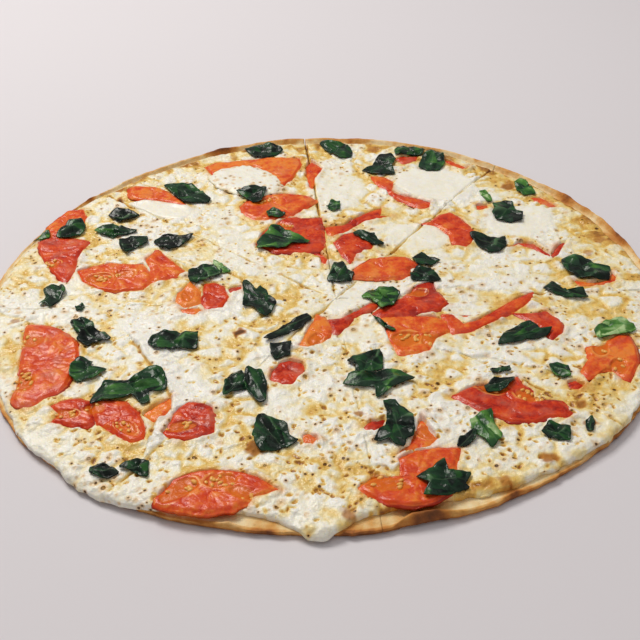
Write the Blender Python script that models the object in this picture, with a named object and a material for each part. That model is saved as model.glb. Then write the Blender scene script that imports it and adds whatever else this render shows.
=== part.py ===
import math

import bmesh
import bpy
from mathutils import Vector, noise
from mathutils.bvhtree import BVHTree

for thing in list(bpy.data.objects):
    bpy.data.objects.remove(thing, do_unlink=True)

# Thin crust pizza, 16 inch, cut in eight slices that still lie together.
# Metres, +Z up, underside on Z = 0, centre of the round on the Z axis.
mm = 0.001

# crust
pizza_radius = 200 * mm
bed_thickness = 3.4 * mm            # crust under the cheese
rim_height = 6.6 * mm               # crest of the bare rim
rim_lift = 1.3 * mm                 # the baked edge curls off the board
rim_ledge = 3.0 * mm                # flat crust left bare next to the cheese
crust_steps = 14                    # facets across one slice's rim
piece_gap = 0.3 * mm                # between any two pieces that touch

# the four straight cuts cross here, right of the middle and in front of it
hub = Vector((9 * mm, -17 * mm, 0))
cut_angles = (0, 54, 94.5, 138.5, 180, 234, 275, 320)
cut_spread = (0.04, 0.22, 0.30, 0.05, 0.05, 0.10, 0.05, 0.05)   # degrees, the far cuts have opened
cut_half_width = 0.35 * mm

# how far the baked edge wanders from a true circle, every 20 degrees from +X
rim_wander = (0, 0, -3, 0, 2, 3, -1, -2, -1, -1, -2, 0, 0, -1.5, -1.5, -0.5, 1, 0)
# bare crust outside the cheese, every 15 degrees from +X, below zero where the cheese hangs over
cheese_inset = (8, 10, 9, 8, 8, 9, 10, 9, 8, 7, 6, 5, 4, 4, 2, -1, -3, 8, 11, 9, 8, 3, 7, 4)
tongue_angle = 268.8                # one tongue of cheese runs over the near edge
tongue_reach = 15 * mm
tongue_width = 5.0                  # degrees, half width of its bell

# dark bubbles baked into the rim: x, y, radius, rise
rim_blisters = ((-70, 184, 13, 1.6), (-158, 118, 8, 1.2), (186, 40, 12, 1.8), (191, 5, 9, 2.6),
                (-27, -191, 10, 2.4), (10, -196, 6, 1.4), (48, -194, 10, 1.8), (88, -176, 9, 1.4),
                (28, 192, 8, 1.2), (150, -136, 9, 1.0), (168, 98, 9, 1.2), (-20, 193, 7, 1.0))

# cheese
cheese_rows = 20                    # rings of facets from the hub to the edge
cheese_thickness = 3.5 * mm
cheese_under_tomato = 1.3 * mm
cheese_edge = 1.1 * mm
cheese_lump = 0.9 * mm
cheese_lump_size = 21 * mm
cut_groove = 1.3 * mm
cut_groove_width = 2.6 * mm
overhang_clear = 2.0 * mm           # cheese that hangs over stays this far off the baked edge
# rounds of softer mozzarella melted into the layer: x, y, radius, rise
melted_rounds = ((82, 119, 28, 0.9), (-106, 97, 22, 0.8), (64, 50, 20, 0.8), (134, 68, 25, 0.9),
                 (17, -19, 14, 0.8), (28, -50, 15, 0.8), (-60, 62, 20, 0.6), (-150, -20, 18, 0.6))

tomato_thickness = 3.6 * mm
tomato_sides = 12
tomato_pocket = 0.7 * mm            # seed pockets sink this far into the cut face
basil_thickness = 0.9 * mm
scrap_foot = 1.0 * mm               # small pieces have sunk this far into the cheese
scrap_floor = 0.3 * mm              # and leave this much of it below them

# tomato pieces: x, y, length, width, turn in degrees, then the shape of the outline:
# flat 1 is a half slice, taper narrows the far end, bend bows it sideways in mm
tomatoes = {
    "tomato_slice_01": (-42, 144, 66, 50, -12, 0.0, 0.0, 0),
    "tomato_slice_02": (-113, 118, 46, 18, -30, 0.5, -0.2, 2),
    "tomato_slice_03": (-166, 84, 36, 22, 62, 0.8, 0.0, 2),
    "tomato_slice_04": (-165, 37, 52, 24, -63, 0.1, 0.4, -3),
    "tomato_slice_05": (-128, 13, 45, 32, 174, 0.7, 0.0, 0),
    "tomato_slice_06": (-97, 27, 42, 15, -62, 0.2, -0.1, 2),
    "tomato_slice_07": (-70, -8, 30, 27, 170, 0.1, 0.1, 0),
    "tomato_slice_08": (-28, 98, 50, 33, 18, 0.1, 0.1, 0),
    "tomato_slice_09": (-18, 55, 42, 41, 0, 0.1, 0.0, 0),
    "tomato_slice_10": (17, 42, 40, 17, -74, 0.2, 0.3, -2),
    "tomato_slice_11": (58, 112, 60, 12, -58, 0.3, -0.1, -3),
    "tomato_slice_12": (90, 62, 50, 21, -84, 0.2, -0.25, 2),
    "tomato_slice_13": (43, 14, 40, 14, 14, 0.3, 0.0, 5),
    "tomato_slice_14": (55, -20, 36, 24, 12, 0.2, 0.1, 0),
    "tomato_slice_15": (53, -54, 38, 30, -4, 0.6, 0.0, 0),
    "tomato_slice_16": (99, -34, 60, 11, 34, 0.2, 0.2, -2),
    "tomato_slice_17": (2, -48, 38, 19, 57, 0.1, 0.15, 2),
    "tomato_slice_18": (127, -50, 30, 16, -66, 0.6, 0.0, 3),
    "tomato_slice_19": (156, -82, 46, 27, -112, 0.7, 0.0, 0),
    "tomato_slice_20": (95, -112, 60, 23, -20, 0.1, 0.1, -2),
    "tomato_slice_21": (41, -169, 52, 34, 200, 0.6, 0.0, 0),
    "tomato_slice_22": (-52, -172, 60, 27, 9, 0.75, 0.0, 0),
    "tomato_slice_23": (-70, -122, 31, 26, -58, 0.1, 0.1, 0),
    "tomato_slice_24": (-117, -117, 56, 20, -27, 0.1, 0.1, 3),
    "tomato_slice_25": (-153, -70, 72, 36, -92, 0.75, -0.05, 0),
}

# basil leaves that lie free: x, y, length, width, turn, fold and ripple in mm
basil_leaves = {
    "basil_leaf_01": (-38, 184, 26, 20, 20, 2.6, 1.2),
    "basil_leaf_02": (15, 184, 31, 14, -56, 2.2, 1.0),
    "basil_leaf_03": (84, 161, 36, 16, -105, 2.4, 1.4),
    "basil_leaf_04": (45, 157, 36, 12, 52, 2.0, 1.4),
    "basil_leaf_05": (-92, 120, 37, 23, -42, 2.6, 1.6),
    "basil_leaf_06": (-25, 56, 34, 24, -32, 3.0, 1.4),
    "basil_leaf_07": (37, -16, 26, 18, 20, 2.4, 1.4),
    "basil_leaf_08": (125, 81, 27, 18, 70, 2.4, 1.6),
    "basil_leaf_09": (163, 11, 30, 23, 25, 2.8, 1.6),
    "basil_leaf_10": (145, -14, 29, 11, -37, 2.2, 1.4),
    "basil_leaf_11": (164, -55, 25, 15, 22, 1.8, 0.8),
    "basil_leaf_12": (112, -57, 36, 12, 24, 2.0, 1.0),
    "basil_leaf_13": (94, -101, 22, 11, 22, 2.0, 1.2),
    "basil_leaf_14": (79, -135, 29, 14, 118, 2.6, 1.4),
    "basil_leaf_15": (57, -170, 28, 19, 8, 2.6, 1.4),
    "basil_leaf_16": (35, -129, 36, 18, 105, 2.4, 1.8),
    "basil_leaf_17": (27, -84, 36, 22, -52, 3.0, 1.8),
    "basil_leaf_18": (-27, -132, 31, 19, -70, 2.2, 1.6),
    "basil_leaf_19": (-42, -93, 28, 18, -72, 2.6, 1.6),
    "basil_leaf_20": (-20, -46, 38, 11, 46, 3.4, 0.8),
    "basil_leaf_21": (-44, 113, 23, 16, 60, 2.2, 1.2),
    "basil_leaf_22": (-37, -13, 40, 15, -66, 2.6, 1.8),
    "basil_leaf_23": (-161, 77, 21, 17, 48, 2.2, 1.2),
    "basil_leaf_24": (-132, -41, 37, 15, -45, 2.6, 1.2),
    "basil_leaf_25": (-103, -92, 44, 18, 24, 2.8, 1.8),
}

# smaller basil pieces sunk into the cheese: x, y, length, width, turn
basil_scraps = (
    (67, 169, 22, 11, -12), (-84, -53, 28, 16, 2), (37, 52, 20, 10, -36), (12, 14, 24, 12, 78),
    (68, 7, 17, 12, -40), (68, 26, 15, 9, -15), (110, 42, 20, 15, -45), (-70, 17, 22, 15, 32),
    (-95, 56, 26, 15, 8), (-121, 54, 19, 14, 75), (-132, 93, 22, 14, -22), (-134, 72, 28, 10, -8),
    (-161, -3, 24, 11, -76), (-124, -76, 20, 13, -30), (-108, -156, 16, 9, 0), (-93, -155, 16, 11, 35),
    (114, -137, 15, 12, -30), (126, -89, 14, 9, -55), (143, 114, 22, 9, -70), (115, 103, 15, 6, 110),
    (10, 96, 9, 8, 60), (134, -131, 10, 5, 75), (95, -87, 10, 4, 10),
)
# smaller tomato pieces sunk into the cheese: x, y, length, width, turn
tomato_scraps = (
    (-1, 147, 34, 9, 96), (38, 84, 18, 9, 35), (65, 163, 15, 10, 0), (101, 150, 20, 6, -48),
    (109, 87, 11, 8, 10), (124, 34, 34, 5, 12), (150, 31, 22, 4, 62), (164, -8, 28, 8, 4),
    (-20, -83, 28, 13, 88), (49, -137, 21, 16, -28), (25, -131, 14, 9, 30), (-8, -137, 11, 6, -20),
    (-4, -106, 7, 4, 60),
)

mozzarella_round = (-50, 143, 52, 46, 8)     # x, y, length, width, turn
mozzarella_thickness = 2.6 * mm


def collection_named(name):
    group = bpy.data.collections.new(name)
    bpy.context.scene.collection.children.link(group)
    return group


def food_material(name, colour, roughness):
    material = bpy.data.materials.new(name)
    material.use_nodes = True
    shader = material.node_tree.nodes["Principled BSDF"]
    shader.inputs["Base Color"].default_value = (*colour, 1)
    shader.inputs["Roughness"].default_value = roughness
    shader.inputs["Metallic"].default_value = 0
    material.diffuse_color = (*colour, 1)
    return material


pizza = collection_named("thin_crust_pizza")
workshop = collection_named("pieces_to_fuse")
crust_material = food_material("baked_crust", (0.62, 0.36, 0.16), 0.75)
cheese_material = food_material("melted_mozzarella", (0.88, 0.80, 0.62), 0.42)
tomato_material = food_material("baked_tomato", (0.72, 0.12, 0.03), 0.25)
basil_material = food_material("wilted_basil", (0.02, 0.07, 0.02), 0.4)


def smooth_step(low, high, value):
    t = min(max((value - low) / (high - low), 0), 1)
    return t * t * (3 - 2 * t)


def around(values, degrees):
    # a closed table of evenly spaced values, read with a smooth curve between them
    place = (degrees % 360) / 360 * len(values)
    first = int(place)
    blend = smooth_step(0, 1, place - first)
    return values[first % len(values)] * (1 - blend) + values[(first + 1) % len(values)] * blend


def tongue(degrees):
    off = (degrees - tongue_angle + 180) % 360 - 180
    return math.exp(-((off / tongue_width) ** 2))


def rim_radius(degrees):
    ripple = noise.noise(Vector((math.cos(math.radians(degrees)), math.sin(math.radians(degrees)), 3)) * 6)
    return pizza_radius + (around(rim_wander, degrees) + 1.4 * ripple) * mm


def inset_of_cheese(degrees):
    ripple = noise.noise(Vector((math.cos(math.radians(degrees)), math.sin(math.radians(degrees)), 8)) * 9)
    return (around(cheese_inset, degrees) + 1.6 * ripple) * mm - tongue_reach * tongue(degrees)


def cheese_radius(degrees):
    return rim_radius(degrees) - inset_of_cheese(degrees)


def bare_width(degrees):
    # the narrowest bare crust close by, so that no cheese climbs the rim
    return min(inset_of_cheese(degrees + step) for step in (-6, -4, -2, 0, 2, 4, 6))


def overhang(degrees):
    # how far the cheese and its neighbours on both sides reach past the baked edge
    return -max(inset_of_cheese(degrees + step) for step in (-3, -1.5, 0, 1.5, 3))


def bed_radius(degrees):
    return rim_radius(degrees) - max(bare_width(degrees) - rim_ledge, 2.2 * mm)


def point_on_edge(direction, radius_at):
    # where a ray from the hub meets an outline that is given by its radius about the centre
    reach = radius_at(math.degrees(math.atan2(direction.y, direction.x)))
    for _ in range(12):
        point = hub + direction * reach
        wanted = radius_at(math.degrees(math.atan2(point.y, point.x)))
        reach += wanted - point.length
    return hub + direction * reach


def ray_direction(degrees):
    return Vector((math.cos(math.radians(degrees)), math.sin(math.radians(degrees)), 0))


def blister_rise(x, y):
    rise = 0
    for centre_x, centre_y, radius, height in rim_blisters:
        off = math.hypot(x - centre_x * mm, y - centre_y * mm) / (radius * mm)
        rise = max(rise, height * mm * math.exp(-1.6 * off * off))
    return rise


def add_piece(name, bm, material, group=None):
    bmesh.ops.recalc_face_normals(bm, faces=bm.faces[:])
    mesh = bpy.data.meshes.new(name)
    bm.to_mesh(mesh)
    bm.free()
    mesh.materials.append(material)
    mesh.shade_smooth()
    mesh.set_sharp_from_angle(angle=math.radians(50))
    piece = bpy.data.objects.new(name, mesh)
    (group or pizza).objects.link(piece)
    return piece


def thicken(bm):
    # gives the open sheet a second skin and a side wall, and returns the vertices of the new skin
    upper = bmesh.ops.extrude_face_region(bm, geom=bm.faces[:], use_keep_orig=True)
    return {item for item in upper["geom"] if isinstance(item, bmesh.types.BMVert)}


# section of the crust: station 0 is the hub, 1 the edge of the bed, 2 the outer edge of the rim;
# height is a share of the way from the bed to the crest, below zero it is a share of the bed
crust_section = ((0, 0), (1, 0), (1.28, 0.7), (1.55, 1), (1.85, 0.62), (2, -0.25), (1.93, -0.62), (1.5, -1),
                 (0, -1))


def crust_slice(number):
    start = cut_angles[number] + cut_spread[number]
    end = cut_angles[(number + 1) % 8] - cut_spread[(number + 1) % 8]
    sweep = (end - start) % 360
    bm = bmesh.new()
    section = [bm.verts.new((station, 0, index)) for index, (station, _) in enumerate(crust_section)]
    face = bm.faces.new(section)
    bmesh.ops.spin(bm, geom=[face, *face.edges, *section], cent=(0, 0, 0), axis=(0, 0, 1), angle=1,
                   steps=crust_steps)
    push = ray_direction(start + sweep / 2) * (cut_half_width / math.sin(math.radians(sweep / 2)))
    for vert in bm.verts:
        index = round(vert.co.z)
        station, height = crust_section[index]
        direction = ray_direction(start + sweep * min(max(math.atan2(vert.co.y, vert.co.x), 0), 1))
        bed_edge = point_on_edge(direction, bed_radius)
        rim_edge = point_on_edge(direction, rim_radius)
        if station <= 1:
            place = hub.lerp(bed_edge, station)
        else:
            place = bed_edge.lerp(rim_edge, station - 1)
        angle = math.degrees(math.atan2(place.y, place.x))
        bare = bare_width(angle)
        crest = smooth_step(2 * mm, 9 * mm, bare) * (rim_height - bed_thickness)
        bubbles = blister_rise(place.x, place.y) + 0.5 * mm * noise.noise(place * 60)
        crest += smooth_step(1 * mm, 4 * mm, bare) * bubbles
        if height > 0:
            place.z = bed_thickness + max(crest, 0) * height
        elif station > 1.6:
            share = 1 + height
            place.z = rim_lift + (bed_thickness - rim_lift) * max(share - 0.38, 0) / 0.62
        else:
            place.z = bed_thickness * (1 + height)
        vert.co = place + push
    bmesh.ops.remove_doubles(bm, verts=bm.verts[:], dist=0.01 * mm)
    bmesh.ops.triangulate(bm, faces=[f for f in bm.faces if len(f.verts) == 4])
    return add_piece(f"crust_slice_{number + 1}", bm, crust_material)


def into_outline(u, v, shape):
    # unit disc to a piece's own outline, in metres on the pizza
    x, y, length, width, turn, flat, taper, bend = shape
    low = -(1 - flat)
    if v < 0:
        v *= 1 - flat
    v = -1 + 2 * (v - low) / (1 - low)
    v *= 1 - taper * u
    along = length / 2 * u
    across = width / 2 * v + bend * (1 - u * u) - bend / 2
    angle = math.radians(turn)
    return ((x + along * math.cos(angle) - across * math.sin(angle)) * mm,
            (y + along * math.sin(angle) + across * math.cos(angle)) * mm)


def seat_share(x, y):
    # 1 under a tomato piece, falling to 0 outside it
    share = 0
    for shape in tomatoes.values():
        centre_x, centre_y, length, width, turn = shape[:5]
        angle = math.radians(turn)
        off_x = x / mm - centre_x
        off_y = y / mm - centre_y
        along = off_x * math.cos(angle) + off_y * math.sin(angle)
        across = off_y * math.cos(angle) - off_x * math.sin(angle)
        reach = math.hypot(along / (length / 2), across / (width / 2))
        outside = (reach - 1) * min(length, width) / 2
        share = max(share, 1 - smooth_step(1.0, 9.0, outside))
    return share


def distance_to_cut(x, y):
    place = Vector((x, y, 0)) - hub
    nearest = place.length
    for degrees in cut_angles:
        direction = ray_direction(degrees)
        if place.dot(direction) > 0:
            nearest = min(nearest, abs(place.cross(direction).z))
    return nearest


def cheese_depth(x, y):
    place = Vector((x, y, 0)) / cheese_lump_size
    lumps = noise.noise(place) + 0.5 * noise.noise(place * 2.1)
    depth = cheese_thickness + cheese_lump * lumps
    for centre_x, centre_y, radius, rise in melted_rounds:
        off = math.hypot(x - centre_x * mm, y - centre_y * mm) / (radius * mm)
        depth += rise * mm * (1 - smooth_step(0.55, 1.1, off))
    seat = seat_share(x, y)
    depth = depth * (1 - seat) + cheese_under_tomato * seat
    depth -= min(cut_groove, depth - 1.0 * mm) * (1 - smooth_step(0, cut_groove_width, distance_to_cut(x, y)))
    return depth


def cheese_layer():
    bm = bmesh.new()
    bmesh.ops.create_circle(bm, cap_ends=True, cap_tris=True, radius=1, segments=8)
    bmesh.ops.subdivide_edges(bm, edges=bm.edges[:], cuts=cheese_rows - 1, use_grid_fill=True)
    corners = [Vector((math.cos(k * math.pi / 4), math.sin(k * math.pi / 4), 0)) for k in range(9)]
    bottom = bed_thickness + piece_gap
    rows = {}
    for vert in bm.verts:
        wedge = int((math.atan2(vert.co.y, vert.co.x) % (2 * math.pi) + 1e-6) / (math.pi / 4)) % 8
        first, second = corners[wedge], corners[wedge + 1]
        area = first.cross(second).z
        share_first = vert.co.cross(second).z / area
        share_second = first.cross(vert.co).z / area
        row = round((share_first + share_second) * cheese_rows)
        column = round(share_second * cheese_rows)
        rows[vert.index] = (wedge, row, column)
    tops = thicken(bm)
    bm.verts.ensure_lookup_table()
    unit_place = {}
    for vert in bm.verts:
        unit_place[vert] = (round(vert.co.x, 5), round(vert.co.y, 5))
    labels = {unit_place[bm.verts[index]]: label for index, label in rows.items()}
    for vert in bm.verts:
        wedge, row, column = labels[unit_place[vert]]
        start = cut_angles[wedge]
        sweep = (cut_angles[(wedge + 1) % 8] - start) % 360
        share = column / row if row else 0
        direction = ray_direction(start + sweep * share)
        border = point_on_edge(direction, cheese_radius)
        border_angle = math.degrees(math.atan2(border.y, border.x))
        over = -inset_of_cheese(border_angle)
        reach = (border - hub).length
        if over > -1 * mm:
            inner_reach = (point_on_edge(direction, rim_radius) - hub).length + overhang_clear
            reach = max(reach, inner_reach + 1.2 * mm)
            border = hub + direction * reach
        else:
            inner_reach = reach - 3.2 * mm
        if row < cheese_rows:
            place = hub + direction * (inner_reach * row / (cheese_rows - 1))
        else:
            place = border
        if 1 <= column <= row - 1 and row > 4:
            # the facets beside a cut are drawn in to it, so the groove stays narrow
            arc = (place - hub).length * math.radians(sweep) / row
            squeeze = 1 - cut_groove_width / arc
            nudge = squeeze if column == 1 else -squeeze if column == row - 1 else 0
            share -= nudge / row
            place = hub + ray_direction(start + sweep * share) * (place - hub).length
        droop = smooth_step(0, 4 * mm, overhang(border_angle))
        if vert in tops:
            depth = cheese_depth(place.x, place.y)
            if row == cheese_rows:
                depth = cheese_edge - droop * 1.2 * mm
            elif row == cheese_rows - 1:
                depth = 0.75 * depth + 0.25 * cheese_edge
            place.z = bottom + depth
        else:
            place.z = bottom - (droop * 1.9 * mm if row == cheese_rows else 0)
        vert.co = place
    flat = [f for f in bm.faces if all(abs(v.co.z - bottom) < 1e-7 for v in f.verts)]
    edges = {e for f in flat for e in f.edges if all(face in flat for face in e.link_faces)}
    bmesh.ops.dissolve_edges(bm, edges=list(edges), use_verts=True)
    return add_piece("cheese", bm, cheese_material)


class Underlay:
    # everything laid so far, to drop rays on
    def __init__(self, pieces):
        self.points = []
        self.faces = []
        for piece in pieces:
            self.add(piece)

    def add(self, piece):
        base = len(self.points)
        self.points += [vert.co.copy() for vert in piece.data.vertices]
        self.faces += [[base + index for index in face.vertices] for face in piece.data.polygons]
        self.tree = BVHTree.FromPolygons(self.points, self.faces)

    def height(self, x, y):
        hit = self.tree.ray_cast(Vector((x, y, 0.1)), Vector((0, 0, -1)))
        return hit[0].z if hit[0] else 0

    def highest_near(self, x, y, reach):
        spots = [(x, y)]
        for ring in (0.5, 1):
            for turn in range(8):
                angle = turn * math.pi / 4
                spots.append((x + ring * reach * math.cos(angle), y + ring * reach * math.sin(angle)))
        return max(self.height(*spot) for spot in spots)


def disc(sides, rings):
    # a unit disc of rings of facets round a middle fan
    bm = bmesh.new()
    bmesh.ops.create_circle(bm, cap_ends=True, radius=1, segments=sides)
    for ring in range(rings):
        middle = max(bm.faces, key=lambda face: len(face.verts))
        bmesh.ops.inset_region(bm, faces=[middle], thickness=0.8 / (rings + 1), use_boundary=True)
    middle = max(bm.faces, key=lambda face: len(face.verts))
    bmesh.ops.poke(bm, faces=[middle])
    return bm


def tomato_piece(name, shape, underlay, seed):
    bm = disc(tomato_sides, 2)
    tops = thicken(bm)
    x, y, length, width = shape[:4]
    seat = 0
    for vert in bm.verts:
        if vert not in tops:
            for stretch in (0.4, 0.8, 1.06):
                seat = max(seat, underlay.height(*into_outline(vert.co.x * stretch, vert.co.y * stretch, shape)))
    seat += piece_gap
    for vert in bm.verts:
        radius = vert.co.xy.length
        place = into_outline(vert.co.x, vert.co.y, shape)
        wobble = noise.noise(Vector((place[0], place[1], seed * 0.1)) * 90)
        if vert not in tops:
            height = 0
        elif radius > 0.9:
            height = 0.72 * tomato_thickness
        elif radius > 0.5:
            height = tomato_thickness
        else:
            height = tomato_thickness - tomato_pocket * (1 + wobble)
        spread = 1 - 0.05 * (vert in tops and radius > 0.9)
        place = into_outline(vert.co.x * spread, vert.co.y * spread, shape)
        vert.co = (place[0], place[1], seat + height + (0.5 * mm * wobble if vert in tops else 0))
    base = [f for f in bm.faces if all(abs(v.co.z - seat) < 1e-7 for v in f.verts)]
    edges = {e for f in base for e in f.edges if all(face in base for face in e.link_faces)}
    bmesh.ops.dissolve_edges(bm, edges=list(edges), use_verts=True)
    bmesh.ops.triangulate(bm, faces=[f for f in bm.faces if len(f.verts) == 4])
    return add_piece(name, bm, tomato_material)


def mozzarella_slice(underlay):
    bm = disc(14, 1)
    tops = thicken(bm)
    shape = (*mozzarella_round, 0, 0, 0)
    for vert in bm.verts:
        radius = vert.co.xy.length
        x, y = into_outline(vert.co.x, vert.co.y, shape)
        height = underlay.highest_near(x, y, 5.5 * mm) + piece_gap
        if vert in tops:
            height += mozzarella_thickness * (1 - 0.6 * smooth_step(0.6, 1, radius))
        vert.co = (x, y, height)
    bmesh.ops.triangulate(bm, faces=[f for f in bm.faces if len(f.verts) == 4])
    return add_piece("mozzarella_slice", bm, cheese_material)


def leaf_outline(u, v, shape, seed):
    # a torn leaf: blunt at the stem, drawn to a point, with a nibbled border
    x, y, length, width, turn = shape[:5]
    half = (1 - 0.8 * max(u, 0) ** 2.2 - 0.55 * max(-u, 0) ** 3)
    nibble = 1 + 0.18 * noise.noise(Vector((u * 1.7, v * 1.3, seed * 1.9)))
    along = length / 2 * u * (1 - 0.06 * v * v)
    across = width / 2 * v * half * nibble
    angle = math.radians(turn)
    return ((x + along * math.cos(angle) - across * math.sin(angle)) * mm,
            (y + along * math.sin(angle) + across * math.cos(angle)) * mm)


def basil_leaf(name, shape, underlay, seed):
    fold, ripple = shape[5:]
    bm = bmesh.new()
    bmesh.ops.create_grid(bm, x_segments=5, y_segments=4, size=1)
    bmesh.ops.triangulate(bm, faces=bm.faces[:], quad_method="ALTERNATE")
    tops = thicken(bm)
    for vert in bm.verts:
        u, v = vert.co.x, vert.co.y
        x, y = leaf_outline(u, v, shape, seed)
        lift = fold * v * v * (0.75 + 0.25 * math.cos(3 * u + seed))
        lift += ripple * (0.5 + 0.5 * math.sin(4.2 * u + 2.1 * v + seed * 1.3)) * abs(v)
        lift += 1.2 * max(u, 0) ** 3
        height = underlay.highest_near(x, y, 4.5 * mm) + piece_gap + lift * mm
        if vert in tops:
            height += basil_thickness
        vert.co = (x, y, height)
    return add_piece(name, bm, basil_material)


def sunk_scrap(name, shape, underlay, rise, seed, outline, material):
    # a low piece whose foot is inside the cheese, to be fused with it
    bm = disc(8, 1)
    tops = thicken(bm)
    for vert in bm.verts:
        u, v = vert.co.x, vert.co.y
        x, y = outline(u, v)
        height = underlay.height(x, y)
        if vert in tops:
            bump = 0.5 + 0.5 * noise.noise(Vector((u * 1.5, v * 1.5, seed * 2.3)))
            height += (rise + 0.9 * bump) * mm
        else:
            height = max(height - scrap_foot, bed_thickness + piece_gap + scrap_floor)
        vert.co = (x, y, height)
    bmesh.ops.triangulate(bm, faces=bm.faces[:])
    return add_piece(name, bm, material, workshop)


def fuse(body, scraps):
    union = body.modifiers.new("scraps", "BOOLEAN")
    union.operation = "UNION"
    union.operand_type = "COLLECTION"
    union.collection = scraps
    union.solver = "EXACT"
    mesh = bpy.data.meshes.new_from_object(body.evaluated_get(bpy.context.evaluated_depsgraph_get()))
    body.modifiers.remove(union)
    body.data = mesh
    for scrap in list(scraps.objects):
        bpy.data.objects.remove(scrap, do_unlink=True)
    bpy.data.collections.remove(scraps)


crust = [crust_slice(slice_number) for slice_number in range(8)]
cheese = cheese_layer()
table = Underlay(crust)
table.add(cheese)
for number, place in enumerate(basil_scraps):
    sunk_scrap(f"basil_scrap_{number}", place, table, 0.7, number,
               lambda u, v, where=place, seed=number: leaf_outline(u, v, where, seed), basil_material)
for number, place in enumerate(tomato_scraps):
    sunk_scrap(f"tomato_scrap_{number}", place, table, 0.3, number + 40,
               lambda u, v, where=place: into_outline(u, v, (*where, 0.2, 0.1, 0)), tomato_material)
fuse(cheese, workshop)
table = Underlay(crust)
table.add(cheese)
for number, (tomato_name, tomato_shape) in enumerate(tomatoes.items()):
    table.add(tomato_piece(tomato_name, tomato_shape, table, number))
table.add(mozzarella_slice(table))
for number, (leaf_name, leaf_shape) in enumerate(basil_leaves.items()):
    table.add(basil_leaf(leaf_name, leaf_shape, table, number))
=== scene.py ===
import math

import bmesh
import bpy
import numpy as np
from mathutils import Matrix, Vector, kdtree, noise
from mathutils.bvhtree import BVHTree
from mathutils.geometry import delaunay_2d_cdt


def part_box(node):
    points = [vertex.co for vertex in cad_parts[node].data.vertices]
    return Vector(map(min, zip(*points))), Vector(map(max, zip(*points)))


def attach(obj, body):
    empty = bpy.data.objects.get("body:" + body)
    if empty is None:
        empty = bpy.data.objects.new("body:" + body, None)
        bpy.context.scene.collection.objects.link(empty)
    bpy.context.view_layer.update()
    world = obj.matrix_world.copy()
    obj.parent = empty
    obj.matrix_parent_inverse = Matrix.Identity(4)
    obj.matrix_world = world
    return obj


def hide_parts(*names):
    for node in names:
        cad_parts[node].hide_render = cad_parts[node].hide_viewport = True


# Looks of the thin crust pizza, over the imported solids. Lengths in this file are mm.
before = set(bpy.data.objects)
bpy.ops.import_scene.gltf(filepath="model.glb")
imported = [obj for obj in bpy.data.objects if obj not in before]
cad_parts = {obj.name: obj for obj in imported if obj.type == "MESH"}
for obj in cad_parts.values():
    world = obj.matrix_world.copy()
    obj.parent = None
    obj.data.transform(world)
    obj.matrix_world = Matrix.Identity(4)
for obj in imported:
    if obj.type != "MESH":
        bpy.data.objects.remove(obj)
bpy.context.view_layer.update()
mm = 0.001
dice = np.random.default_rng(16)

pizza = {
    "radius": 200,
    "bed": 3.4,                  # crust under the cheese
    "rimHeight": 6.6,
    "rimLift": 1.3,
    "ledge": 3.0,                # crust that goes on under the cheese's border
    "leastBare": 2.2,
    "gap": 0.3,                  # between the crust and the cheese's top sheet
    "hub": (9, -17),             # where the four cuts cross
    "cuts": (0, 54, 94.5, 138.5, 180, 234, 275, 320),
    # half gap in the cheese over each cut, and how it widens in degrees
    "open": (0.0, 0.06, 0.12, 0.02, 0.0, 0.0, 0.0, 0.0),
    "spread": (0.0, 0.05, 0.09, 0.01, 0.0, 0.01, 0.0, 0.0),
    "cutHalf": 0.08,             # half gap in the crust
    # baked edge against a true circle, every 20 degrees; bare crust outside the cheese, every 15
    "wander": (0, 0, -3, 0, 2, 3, -1, -2, -1, -1, -2, 0, 0, -1.5, -1.5, -0.5, 1, 0),
    "inset": (5, 8, 9, 8, 8, 9, 10, 9, 8, 7, 6, 5, 4, 4, 2, -1, -3, 8, 11, 9, 3, 0, 2, 3),
    # a tongue of cheese that ran over the rim
    "tongueAngle": 268.8,
    "tongueReach": 15,
    "tongueWidth": 5.0,
}


def smoothStep(low, high, value):
    t = np.clip((value - low) / (high - low), 0, 1)
    return t * t * (3 - 2 * t)


def around(values, degrees):
    # a closed table of evenly spaced values with a smooth curve between them
    values = np.array(values, float)
    place = (degrees % 360) / 360 * len(values)
    first = np.floor(place).astype(int)
    blend = smoothStep(0, 1, place - first)
    return values[first % len(values)] * (1 - blend) + values[(first + 1) % len(values)] * blend


def noiseAt(size, x, y, z=0.0):
    # smooth noise, about -1 to 1, with lumps of that size
    x, y, z = np.broadcast_arrays(x, y, z)
    places = zip((x / size).ravel().tolist(), (y / size).ravel().tolist(), (z / size).ravel().tolist())
    return np.array([noise.noise(place) for place in places]).reshape(x.shape)


def pillowsAt(size, x, y, z=0.0):
    # soft lumps of that size, 1 on each lump and 0 in the creases between them
    places = zip((x / size).tolist(), (y / size).tolist(), np.full(len(x), z / size).tolist())
    found = [noise.voronoi(place)[0] for place in places]
    return smoothStep(0.0, 0.5, np.array([near[1] - near[0] for near in found]))


def ringNoise(degrees, level, turns):
    angle = np.radians(degrees)
    places = zip((np.cos(angle) * turns).tolist(), (np.sin(angle) * turns).tolist())
    return np.array([noise.noise((a, b, level * turns)) for a, b in places])


def rimRadius(degrees):
    return pizza["radius"] + around(pizza["wander"], degrees) + 1.4 * ringNoise(degrees, 3, 6)


def cheeseInset(degrees):
    off = (degrees - pizza["tongueAngle"] + 180) % 360 - 180
    tongue = np.exp(-((off / pizza["tongueWidth"]) ** 2))
    return around(pizza["inset"], degrees) + 1.6 * ringNoise(degrees, 8, 9) - pizza["tongueReach"] * tongue


def cheeseRadius(degrees):
    return rimRadius(degrees) - cheeseInset(degrees)


def bareWidth(degrees):
    return np.min([cheeseInset(degrees + step) for step in (-6, -4, -2, 0, 2, 4, 6)], axis=0)


def bedRadius(degrees):
    return rimRadius(degrees) - np.maximum(bareWidth(degrees) - pizza["ledge"], pizza["leastBare"])


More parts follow.
